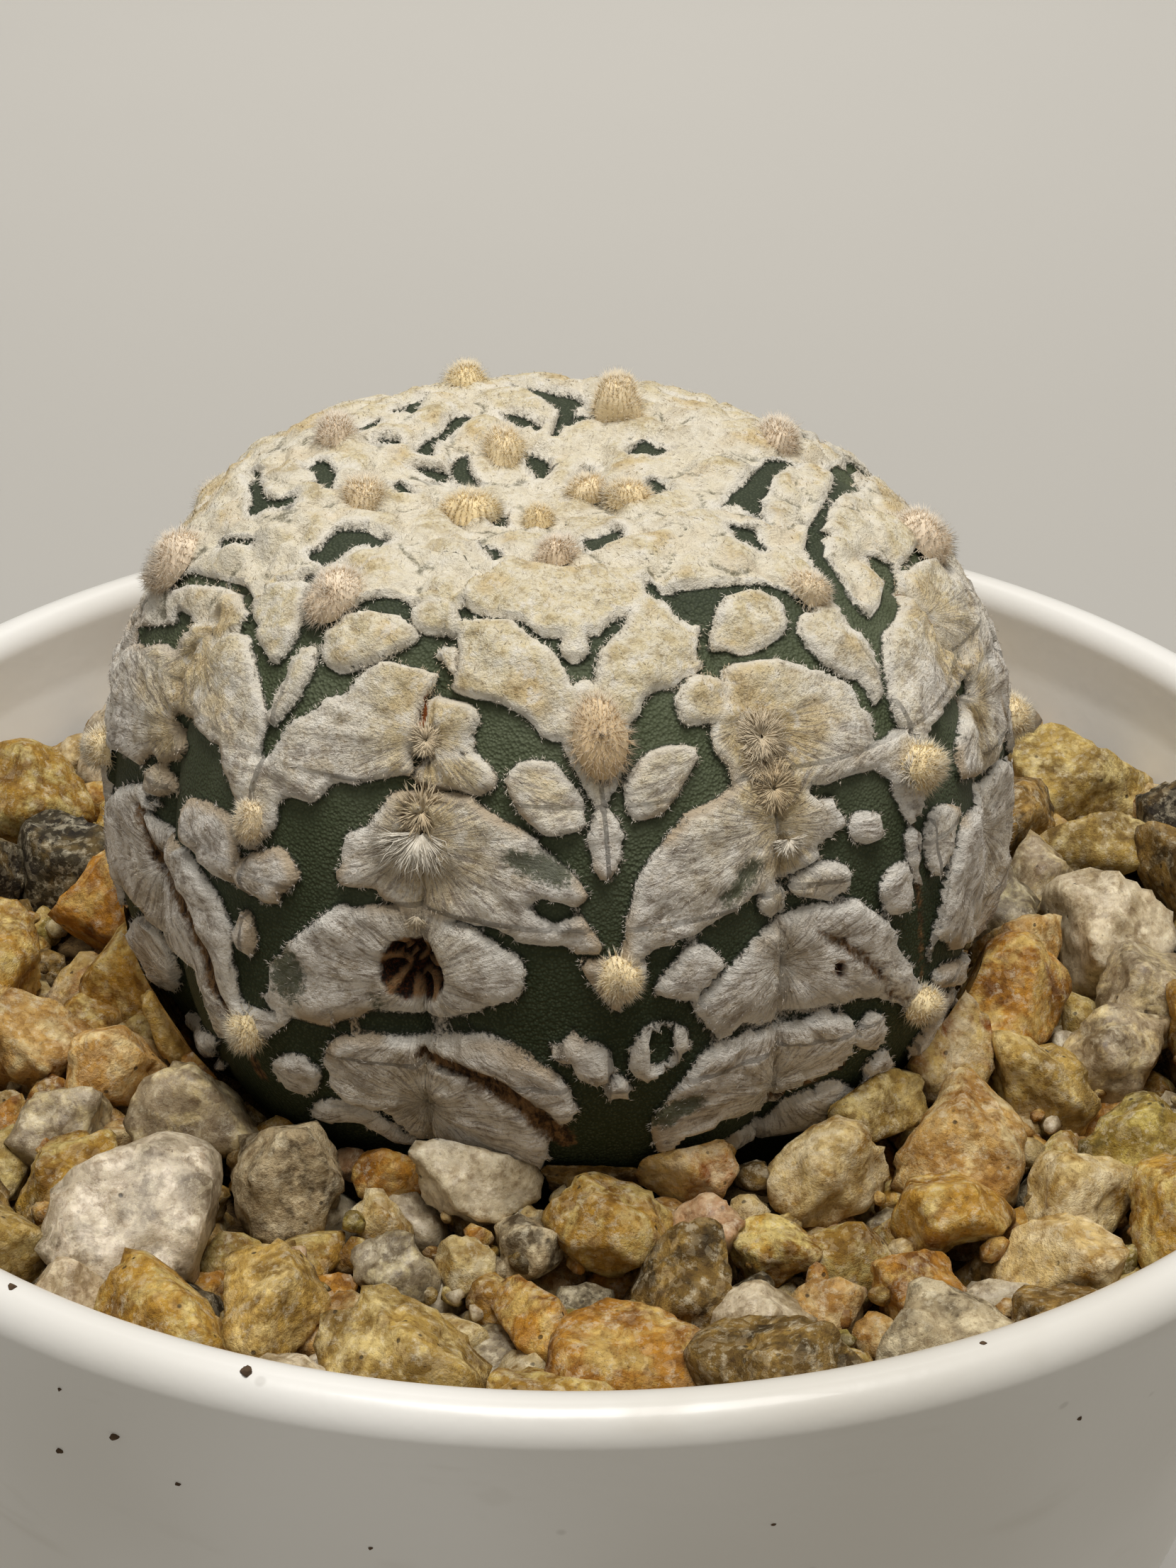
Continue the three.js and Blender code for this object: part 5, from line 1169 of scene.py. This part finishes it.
def makeWool():
    random = np.random.default_rng(wool["seed"])
    points, faces, fields = [], [], {"tone": [], "tip": [], "lower": []}
    total = 0

    def keep(spots, cornerSets, tone, tip, lower):
        nonlocal total
        points.append(spots)
        faces.append(cornerSets + total)
        total += len(spots)
        fields["tone"].append(np.full(len(spots), tone))
        fields["tip"].append(tip)
        fields["lower"].append(lower)

    for azimuth, polar, radius, height, stretch, tone in areoles():
        azimuthHere, polarHere = np.array([azimuth]), np.array([float(polar)])
        normal = bodyNormal(azimuthHere, polarHere)[0]
        centre = bodyPoint(azimuthHere, polarHere)[0] + normal * (plant["feltEdge"] + 0.15)
        down = bodyPoint(azimuthHere, polarHere + 2)[0] - bodyPoint(azimuthHere, polarHere)[0]
        down = unit(down - (down @ normal) * normal)
        side = np.cross(down, normal)
        turns, rises = np.meshgrid(np.arange(wool["sides"]) * 2 * math.pi / wool["sides"],
                                   np.linspace(0, math.pi / 2, wool["rings"]))
        flat = np.cos(rises) ** 0.7 * radius * wool["core"]
        offsets = (side * (flat * np.cos(turns))[..., None]
                   + down * (flat * np.sin(turns) * stretch)[..., None]
                   + normal * (np.sin(rises) * (height + wool["sink"]) - wool["sink"])[..., None])
        outward = unit(offsets + normal * 0.2)
        rough = sum(amount * lumps(centre + offsets, size, seed + 20)
                    for seed, (size, amount) in enumerate(wool["roughness"]))
        dome = (centre + offsets + outward * rough[..., None]).reshape(-1, 3)
        # how far down the dome a place is, which sets the painted shade on its lower side
        lower = ((offsets @ down) / (radius * stretch) * 0.5 + 0.5).ravel()
        quads = gridFaces(wool["rings"], wool["sides"], True)
        triangles = np.concatenate([quads[:, [0, 2, 1]], quads[:, [0, 3, 2]]])
        keep(dome, triangles, tone, np.zeros(len(dome)), lower)
        picked = random.integers(0, len(dome), round(wool["strands"] * min(radius, 1)))
        roots = dome[picked] - normal * 0.05
        aims = unit(outward.reshape(-1, 3)[picked] + random.normal(0, 0.4, (len(picked), 3)))
        lengths = random.uniform(*wool["length"], len(picked)) * math.sqrt(radius)
        spots, corners, along = strands(roots, aims, lengths, np.full(len(picked), wool["width"]))
        keep(spots, corners, tone, along, np.repeat(lower[picked], len(spots) // len(picked)))
    joined = {name: np.concatenate(parts) for name, parts in fields.items()}
    piece = meshPiece("areole_wool", np.concatenate(points), [np.concatenate(faces)], joined)
    return fitted(piece, woolFinish(), "cactus")


# Grit: loose angular stones, those in front placed one by one as
# [x, y, radius, length over width, kind]
frontStones = [
    [-15.8, -19.6, 3.3, 1.2, "slate"], [-10.4, -16, 2.4, 1.1, "speckled"],
    [-14.5, -12.7, 2.2, 1, "smoky"], [-19.5, -12.3, 1.8, 1.1, "smoky"],
    [-6.5, -15.8, 1.2, 0.8, "orange"], [-3.6, -16.9, 2.1, 1.1, "quartz"],
    [1, -15.6, 1.5, 1.5, "brown"], [4.9, -15.9, 1.6, 1.3, "rusty"],
    [9.8, -16, 2, 1.1, "cream"], [15.6, -14, 2.7, 1.1, "peach"],
    [22.2, -13.7, 2.1, 1, "olive"], [18.4, -20.4, 2.1, 1.3, "cream"],
    [1.8, -19.2, 1.9, 1, "ochre"], [5.4, -18.9, 1.3, 1, "rose"],
    [7.8, -19.6, 1.4, 1, "ochre"], [-1, -23.8, 1.5, 1.7, "orange"],
    [-1.3, -19.8, 1.4, 1, "speckled"], [-10.3, -23.2, 2.1, 1.1, "sand"],
    [-3.8, -20.4, 1, 1, "cream"], [-6.2, -20.6, 1.4, 1, "smoky"],
    [6.9, -24, 1.8, 0.9, "quartz"], [12.6, -21.7, 1.6, 1.2, "orange"],
    [-17.6, -8.8, 1.9, 1, "peach"], [19, -9.3, 2.1, 1.4, "sand"],
]
grit = {
    "seed": 29, "shapeSeed": 41, "bedTop": 54.4, "plantOverlap": 2, "tries": 9000,
    "large": 2.9, "small": 1.75, "smallBias": 0.4, "spacing": 0.9, "stretch": 0.4,
    "wallOverlap": 0.2, "rise": 0.32, "swell": 1.36, "flatness": 0.84, "heave": 0.7, "tilt": 0.55,
    "cuts": 11, "cutDepth": (0.52, 0.8), "cutSpread": 0.32, "sharpness": 34,
    "roughness": [(0.9, 0.06), (0.4, 0.04), (0.2, 0.03)], "ledgeSize": 1.2, "ledgeDepth": 0.1,
    "betweenTries": 9000, "betweenRadius": (1.7, 0.6), "betweenDepth": (0, 0.9),
    "underTries": 3000, "underRadius": (0.9, 1.8), "underDepth": (1, 2.4), "chips": 500,
    "chipRadius": (0.25, 0.6), "clearance": 0.2, "nearPlant": (17, 21), "plantRise": 0.9,
}
# Each kind has a main colour, a second one in patches, a colour of its stains and a weight
stoneKinds = {
    "ochre": ("cf9f3c", "8f6316", "f5dc8a", 26), "orange": ("d99830", "8f5812", "f6d078", 15),
    "peach": ("deb062", "ab782c", "fae2a6", 12), "cream": ("e9d090", "ac8434", "fff0c6", 9),
    "sand": ("ccaa58", "886a2a", "f4dc94", 12), "rose": ("d0a67a", "906438", "f3d8b0", 3),
    "smoky": ("b3a284", "7a694c", "ecdaa6", 6), "quartz": ("d9c9a8", "a4906c", "fbeed2", 6),
    "speckled": ("c6b48e", "5d4e34", "f6e6be", 3), "brown": ("886a2e", "4a3916", "c09c50", 8),
    "olive": ("ae913a", "6e5c1a", "e0ca6c", 4), "rusty": ("e6c67a", "a5601a", "fce8bc", 4),
    "slate": ("d6ccb6", "867a64", "f9f1e0", 0), "dark": ("443a22", "281f12", "7c6638", 4),
}


def gritRandom():
    # the draws that placed the stones of the solid grit
    state = grit["seed"]
    while True:
        state = (state * 1664525 + 1013904223) % 2 ** 32
        yield state / 2 ** 32


def upperStones():
    # the same stones in the same places as the solid grit has
    draw = gritRandom()
    stones = [stone[:4] for stone in frontStones]
    inner = plant["radius"] - grit["plantOverlap"]
    for attempt in range(grit["tries"]):
        share = (attempt / grit["tries"]) ** grit["smallBias"]
        radius = grit["large"] + (grit["small"] - grit["large"]) * share
        outer = innerRadius(grit["bedTop"]) - radius * (1 - grit["wallOverlap"])
        far = math.sqrt(inner ** 2 + (outer ** 2 - inner ** 2) * next(draw))
        turn = next(draw) * 2 * math.pi
        x, y = far * math.cos(turn), far * math.sin(turn)
        if all(math.hypot(x - other[0], y - other[1]) > grit["spacing"] * (radius + other[2])
               for other in stones):
            stones.append([x, y, radius, 1 + next(draw) * grit["stretch"]])
    return stones


def roundBall(divisions):
    ball = bmesh.new()
    bmesh.ops.create_icosphere(ball, subdivisions=divisions, radius=1)
    points = np.array([corner.co[:] for corner in ball.verts])
    faces = np.array([[corner.index for corner in face.verts] for face in ball.faces])
    ball.free()
    return points, faces


def stoneShape(ball, radius, stretch, random):
    # a ball cut by planes all round, then chipped in ledges and roughened
    numbers = np.arange(grit["cuts"]) + 0.5
    heights = 1 - 2 * numbers / grit["cuts"]
    turns = numbers * math.pi * (3 - math.sqrt(5))
    level = np.sqrt(1 - heights ** 2)
    even = np.stack([level * np.cos(turns), level * np.sin(turns), heights], -1)
    normals = unit(even + random.normal(0, grit["cutSpread"], (grit["cuts"], 3)))
    depths = random.uniform(*grit["cutDepth"], grit["cuts"])
    ratios = np.clip(ball @ normals.T, 0, None) / depths
    far = (1 + (ratios ** grit["sharpness"]).sum(1)) ** (-1 / grit["sharpness"])
    shape = ball * far[:, None] * radius * grit["swell"]
    shape *= [math.sqrt(stretch), 1 / math.sqrt(stretch), grit["flatness"]]
    own = random.uniform(0, 40)
    coarseness = max(radius / 2, 0.5)
    rough = sum(amount * lumps(shape + own, size * coarseness)
                for size, amount in grit["roughness"])
    rough -= grit["ledgeDepth"] * eased(lumps(shape + own, grit["ledgeSize"] * coarseness, 3), 0.1, 0.2)
    shape = shape * (1 + rough[:, None])
    turn = Matrix.Rotation(random.uniform(0, 2 * math.pi), 3, "Z")
    tilt = (Matrix.Rotation(random.uniform(-1, 1) * grit["tilt"], 3, "X")
            @ Matrix.Rotation(random.uniform(-1, 1) * grit["tilt"], 3, "Y"))
    return shape @ np.array(tilt @ turn).T


def keptInRoom(points):
    # no corner of a stone goes into the wall or the plant
    far = np.hypot(points[:, 0], points[:, 1])
    wall = innerRadius(np.minimum(points[:, 2], lipHeight - 3)) - grit["clearance"]
    points[:, :2] *= np.minimum(1, wall / np.maximum(far, 1e-6))[:, None]
    x, y, z = plant["centre"]
    away = points - [x, y, z]
    level = np.hypot(away[:, 0], away[:, 1])
    height = np.clip(away[:, 2] / plant["lowerHeight"], -1, 0)
    edge = plant["radius"] * np.sqrt(1 - height ** 2) + 0.3
    inside = (level < edge) & (away[:, 2] < 0)
    scale = np.where(inside, edge / np.maximum(level, 1e-6), 1)
    points[:, 0] = x + away[:, 0] * scale
    points[:, 1] = y + away[:, 1] * scale
    return points


def stoneFinish(isGlassy):
    name = "glassy_stone" if isGlassy else "rough_stone"
    gloss = {"Coat Weight": 0.15, "Coat Roughness": 0.3, "Subsurface Weight": 0.25,
             "Subsurface Scale": 0.8 * mm, "Subsurface Radius": (1, 0.85, 0.65)
             } if isGlassy else {"Specular IOR Level": 0.35}
    finish = Finish(name, gloss)
    shift = finish.node("VectorMath", {"operation": "SCALE"},
                        {0: finish.field("own", "Vector"), "Scale": 9.0})
    spot = finish.node("VectorMath", {"operation": "ADD"}, {0: finish.place(), 1: shift})
    main, second = finish.field("main", "Vector"), finish.field("second", "Vector")
    stain = finish.field("stain", "Vector")
    patch = finish.rise(finish.noise(spot, 1.9, 4, 0.6, 0.5), 0.4, 0.66)
    colour = finish.mixed(patch, main, second)
    pale = finish.rise(finish.noise(spot, 1.4, 4, 0.7, 0.3), 0.45, 0.66)
    colour = finish.mixed(pale * 0.85, colour, stain)
    crystal = finish.cells(spot, 0.28, output="Color") * 1
    colour = finish.mixed(finish.rise(crystal, 0.5, 0.8) * 0.14, colour, shade("fff2d0"))
    colour = finish.mixed(finish.rise(crystal, 0.45, 0.2) * 0.22, colour, shade("8a7048"), "MULTIPLY")
    frost = finish.noise(spot, 0.55, 4, 0.75)
    colour = finish.mixed(finish.rise(frost, 0.52, 0.66) * 0.4, colour, shade("fbf0d2"))
    colour = finish.mixed(finish.rise(frost, 0.48, 0.34) * 0.45, colour, shade("9a7c48"), "MULTIPLY")
    edges = finish.cells(spot, 0.5)
    colour = finish.mixed(finish.rise(edges, 0.3, 0.6) * 0.25, colour, shade("7c6038"), "MULTIPLY")
    pits = finish.rise(finish.cells(spot, 0.75), 0.16, 0.08)
    holes = finish.rise(finish.noise(spot, 2.2, 1), 0.5, 0.6) * pits
    colour = finish.mixed(holes * 0.8, colour, shade("2c2318"))
    dust = finish.noise(spot, 0.2, 4, 0.75)
    colour = finish.mixed(finish.rise(dust, 0.42, 0.3) * 0.5, colour, shade("5b4526"), "MULTIPLY")
    finish.give("Base Color", colour)
    if isGlassy:
        finish.give("Roughness", dust * 0.35 + 0.18)
    else:
        finish.give("Roughness", dust * 0.3 + 0.5)
    finish.bump(dust * 0.8 + (1 - holes) * 0.3 + crystal * 0.35, 0.07 if isGlassy else 0.16)
    return finish


def pickedKinds(count, random):
    names = list(stoneKinds)
    weights = np.array([stoneKinds[name][3] for name in names], float)
    return random.choice(names, count, p=weights / weights.sum())


def stonePlaces(random):
    # [x, y, z, radius, stretch, kind, is in the top layer] of every stone
    upper = upperStones()
    kinds = pickedKinds(len(upper), random)
    kinds[:len(frontStones)] = [stone[4] for stone in frontStones]
    places = []
    for index, ((x, y, radius, stretch), kind) in enumerate(zip(upper, kinds)):
        heave = random.uniform(-0.4, 1) * grit["heave"] * (0.3 if index < len(frontStones) else 1)
        close = eased(-math.hypot(x, y), *(-edge for edge in reversed(grit["nearPlant"])))
        z = grit["bedTop"] + radius * grit["rise"] + heave + grit["plantRise"] * close
        places.append([x, y, z, radius, stretch, kind, True])
    inner = plant["radius"] - 1.5
    tops = [list(stone[:3]) for stone in upper]
    for attempt in range(grit["betweenTries"]):
        large, small = grit["betweenRadius"]
        radius = large + (small - large) * math.sqrt(attempt / grit["betweenTries"])
        far = math.sqrt(random.uniform(inner ** 2, (innerRadius(grit["bedTop"]) - radius) ** 2))
        turn = random.uniform(0, 2 * math.pi)
        x, y = far * math.cos(turn), far * math.sin(turn)
        if all(math.hypot(x - other[0], y - other[1]) > 0.82 * (radius + other[2])
               for other in tops):
            tops.append([x, y, radius])
            close = eased(-far, *(-edge for edge in reversed(grit["nearPlant"])))
            z = grit["bedTop"] + grit["plantRise"] * close - random.uniform(*grit["betweenDepth"])
            places.append([x, y, float(z), radius, random.uniform(1, 1.4), "", False])
    under = []
    for _ in range(grit["underTries"]):
        radius = random.uniform(*grit["underRadius"])
        outer = innerRadius(grit["bedTop"] - 1) - radius
        far = math.sqrt(random.uniform(inner ** 2, outer ** 2))
        turn = random.uniform(0, 2 * math.pi)
        x, y = far * math.cos(turn), far * math.sin(turn)
        if all(math.hypot(x - other[0], y - other[1]) > 0.8 * (radius + other[2])
               for other in under):
            under.append([x, y, radius])
            z = grit["bedTop"] - random.uniform(*grit["underDepth"]) + 0.4
            places.append([x, y, z, radius, random.uniform(1, 1.4), "", False])
    for _ in range(grit["chips"]):
        radius = random.uniform(*grit["chipRadius"])
        far = math.sqrt(random.uniform(inner ** 2, (innerRadius(grit["bedTop"]) - radius) ** 2))
        turn = random.uniform(0, 2 * math.pi)
        z = grit["bedTop"] + random.uniform(-0.6, 0.9)
        places.append([far * math.cos(turn), far * math.sin(turn), z, radius, 1.2, "", False])
    others = pickedKinds(len(places), random)
    return [[*place[:5], place[5] or other, place[6]] for place, other in zip(places, others)]


def makeGrit():
    random = np.random.default_rng(grit["shapeSeed"])
    fine, coarse, plain = roundBall(4), roundBall(3), roundBall(2)
    glassyKinds = ("smoky", "quartz", "rose", "slate")
    bags = {}
    for x, y, z, radius, stretch, kind, isUpper in stonePlaces(random):
        ball, faces = fine if isUpper else coarse if radius > grit["chipRadius"][1] else plain
        shape = stoneShape(ball, radius, stretch, random) + [x, y, z]
        shape = keptInRoom(shape)
        isGlassy = kind in glassyKinds
        layer = "upper" if isUpper else "lower"
        bag = bags.setdefault((layer, isGlassy), {"points": [], "faces": [], "total": 0,
                                                  "main": [], "second": [], "stain": [], "own": []})
        bag["points"].append(shape)
        bag["faces"].append(faces + bag["total"])
        bag["total"] += len(shape)
        # Brightness varies at random from stone to stone; stones below the top layer are also painted a fifth
        # darker, as painted shade under the top stones.
        light = random.uniform(0.82, 1.12) * (1 if isUpper else 0.8)
        warm = random.uniform(0.96, 1.05)
        for field, code in zip(("main", "second", "stain"), stoneKinds[kind]):
            colour = np.array(shade(code)[:3]) * light * [warm, 1, 2 - warm]
            bag[field].append(np.tile(colour, (len(shape), 1)))
        bag["own"].append(np.tile(random.uniform(0, 1, 3), (len(shape), 1)))
    for (layer, isGlassy), bag in bags.items():
        fields = {name: np.concatenate(bag[name]) for name in ("main", "second", "stain", "own")}
        name = f"{layer}_{'glassy' if isGlassy else 'rough'}_stones"
        piece = meshPiece(name, np.concatenate(bag["points"]), [np.concatenate(bag["faces"])], fields)
        fitted(piece, stoneFinish(isGlassy), "grit")
        print(name, len(piece.data.polygons), "faces")


# A dark sheet of fines under the lowest stones; its dark brown is partly the fines' own colour and partly painted
# shade in the gaps between the stones
bed = {"top": 52.7, "bottom": 51.4, "rings": 60, "sides": 220, "gap": 0.3, "inner": 9,
       "heave": [(1.6, 0.45), (0.6, 0.25)]}


def bedFinish():
    finish = Finish("grit_fines_and_shade", {"Roughness": 0.95, "Specular IOR Level": 0.2})
    spot = finish.place()
    crumbs = finish.cells(spot, 0.6)
    # Dark brown, partly the fines' own colour and partly painted shade in the gaps between stones.
    colour = finish.mixed(finish.rise(finish.noise(spot, 1.4, 3), 0.35, 0.65),
                          shade("33261a"), shade("6b5334"))
    finish.give("Base Color", finish.mixed(finish.rise(crumbs, 0.1, 0.5) * 0.6, colour, shade("8a6f47")))
    finish.bump(crumbs + finish.noise(spot, 0.2, 3), 0.4)
    return finish


def makeBed():
    outer = innerRadius(bed["top"]) - bed["gap"]
    radii, turns = np.meshgrid(np.linspace(bed["inner"], outer, bed["rings"]),
                               np.arange(bed["sides"]) * 2 * math.pi / bed["sides"], indexing="ij")
    flat = np.stack([radii * np.cos(turns), radii * np.sin(turns), np.zeros_like(radii)], -1)
    heave = sum(amount * lumps(flat, size, 31 + seed)
                for seed, (size, amount) in enumerate(bed["heave"]))
    top = flat + np.array([0, 0, 1]) * (bed["top"] + heave)[..., None]
    low = flat * [1, 1, 0] + [0, 0, bed["bottom"]]
    outerWall = np.minimum(1, (innerRadius(bed["bottom"]) - bed["gap"]) / outer)
    low[..., :2] *= outerWall
    whole = np.concatenate([top, low[::-1], top[:1]])
    rows = len(whole) - 1
    faces = gridFaces(rows + 1, bed["sides"], True)[:, ::-1] % (rows * bed["sides"])
    piece = meshPiece("grit_bed", whole[:-1].reshape(-1, 3), [faces])
    fitted(piece, bedFinish(), "grit")


def soilFinish():
    finish = Finish("potting_soil", {"Roughness": 0.95, "Specular IOR Level": 0.25})
    spot = finish.place()
    crumbs = finish.cells(spot, 1.1)
    dark = finish.mixed(finish.rise(finish.noise(spot, 2.5, 4, 0.65), 0.4, 0.62),
                        shade("2b1f16"), shade("4d3a28"))
    pumice = finish.rise(finish.cells(spot, 2.6), 0.2, 0.12)
    finish.give("Base Color", finish.mixed(pumice, dark, shade("b5a88f")))
    finish.bump(crumbs + finish.noise(spot, 0.3, 4), 0.5)
    return finish


# Crumbs of soil left on the pot, as [angle from the front, height, size]
crumbs = {
    "seed": 12, "colour": "3a2b20", "inset": 0.02,
    "wall": [[-26, 55.6, 0.16], [-22.5, 53.9, 0.1], [-31, 53.2, 0.13], [-11, 52.6, 0.08],
             [-29, 57.2, 0.07], [12, 54, 0.06], [31, 55.4, 0.08], [70, 50, 0.1], [150, 47, 0.13],
             [210, 52, 0.1], [265, 44, 0.11]],
    "lip": [[-17.4, 0.42, 0.22], [-33, 0.5, 0.15], [24, 0.5, 0.08], [120, 0.6, 0.14], [200, 0.4, 0.12]],
}


def makeCrumbs():
    random = np.random.default_rng(crumbs["seed"])
    ball, faces = roundBall(3)
    points, cornerSets = [], []
    spots = [(turn, outerRadius(height), height, size) for turn, height, size in crumbs["wall"]]
    for turn, share, size in crumbs["lip"]:
        angle = math.pi * share
        spots.append((turn, pot["rimRadius"] - lipRadius + lipRadius * math.cos(angle),
                      lipHeight + lipRadius * math.sin(angle), size))
    for turn, radius, height, size in spots:
        angle = math.radians(turn)
        shape = stoneShape(ball, size, random.uniform(1, 1.8), random)
        place = np.array([radius * math.sin(angle), -radius * math.cos(angle), height])
        points.append(shape + place)
        cornerSets.append(faces + len(ball) * len(cornerSets))
    finish = Finish("soil_crumb", {"Roughness": 0.9})
    finish.give("Base Color", finish.mixed(finish.noise(finish.place(), 0.15), shade(crumbs["colour"]),
                                           shade("6a5238")))
    piece = meshPiece("soil_crumbs", np.concatenate(points), [np.concatenate(cornerSets)])
    fitted(piece, finish, "pot")


# Camera at the photograph's viewing angle, above and in front
camera = {"distance": 129.71, "rise": 30.69, "pitch": 29.41, "yaw": 0.42, "roll": 0.69,
          "focalPixels": 4400, "pictureWidth": 1659, "sensor": 36}


def makeCamera():
    rise, pitch, yaw, roll = (math.radians(camera[name]) for name in ("rise", "pitch", "yaw", "roll"))
    forward = Vector((math.sin(yaw) * math.cos(pitch), math.cos(yaw) * math.cos(pitch),
                      -math.sin(pitch)))
    right = forward.cross(Vector((0, 0, 1))).normalized()
    upward = right.cross(forward)
    right, upward = (math.cos(roll) * right + math.sin(roll) * upward,
                     math.cos(roll) * upward - math.sin(roll) * right)
    lens = bpy.data.cameras.new("camera")
    lens.sensor_fit = "HORIZONTAL"
    lens.sensor_width = camera["sensor"]
    lens.lens = camera["focalPixels"] / camera["pictureWidth"] * camera["sensor"]
    lens.clip_start = 1 * mm
    viewer = bpy.data.objects.new("camera", lens)
    bpy.context.scene.collection.objects.link(viewer)
    place = Vector((0, -camera["distance"] * math.cos(rise) + lipRadius * math.sin(rise),
                    camera["distance"] * math.sin(rise) + lipRadius * math.cos(rise) + lipHeight))
    viewer.matrix_world = (Matrix.Translation(place * mm)
                           @ Matrix((right, upward, -forward)).transposed().to_4x4())
    bpy.context.scene.camera = viewer


# Studio: a pale floor under a wide soft light from above and behind, with weak fill
studio = {
    "floorSize": 6, "floor": "b4b1ab", "world": "c9c6c0", "worldStrength": 0.38,
    "lights": [
        {"name": "overhead", "place": (0.03, -0.07, 0.62), "aim": (0, 0, 0.06), "size": 0.28,
         "power": 2.95, "spread": 180, "colour": (1, 0.975, 0.935)},
        {"name": "backdrop", "place": (0, 0.46, 0.5), "aim": (0, 0.42, 0), "size": 0.4,
         "power": 0.62, "spread": 80, "colour": (1, 0.985, 0.96)},
    ],
}


def makeStudio():
    half = studio["floorSize"] / mm / 2
    corners = [[-half, -half, 0], [half, -half, 0], [half, half, 0], [-half, half, 0]]
    floor = meshPiece("floor", np.array(corners), [np.array([[0, 1, 2, 3]])])
    finish = Finish("pale_floor", {"Roughness": 0.7, "Specular IOR Level": 0.2})
    soft = finish.noise(finish.place(), 40, 2)
    finish.give("Base Color", finish.mixed(soft * 0.1, shade(studio["floor"]), shade("c2beb6")))
    floor.data.materials.append(finish.material)
    world = bpy.data.worlds.new("studio")
    world.use_nodes = True
    background = world.node_tree.nodes["Background"]
    background.inputs["Color"].default_value = shade(studio["world"])
    background.inputs["Strength"].default_value = studio["worldStrength"]
    bpy.context.scene.world = world
    for setting in studio["lights"]:
        lamp = bpy.data.lights.new(setting["name"], "AREA")
        lamp.size = setting["size"]
        lamp.energy = setting["power"]
        lamp.color = setting["colour"]
        lamp.spread = math.radians(setting["spread"])
        light = bpy.data.objects.new(setting["name"], lamp)
        bpy.context.scene.collection.objects.link(light)
        light.location = setting["place"]
        away = Vector(setting["aim"]) - light.location
        light.rotation_euler = away.to_track_quat("-Z", "Y").to_euler()
    bpy.context.scene.view_settings.view_transform = "Standard"


makeCamera()
makeStudio()
print("camera and studio are set")
makePot()
makeCrumbs()
print("pot is made")
surface = skinSurface()
makeSkin(surface)
print("plant body is made")
makeFeltHairs(surface)
makeFans()
print("felt hairs are made")
makeWool()
print("woolly areoles are made")
makeGrit()
makeBed()
print("grit is made")
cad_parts["potting_mix"].data.materials.clear()
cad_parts["potting_mix"].data.materials.append(soilFinish().material)
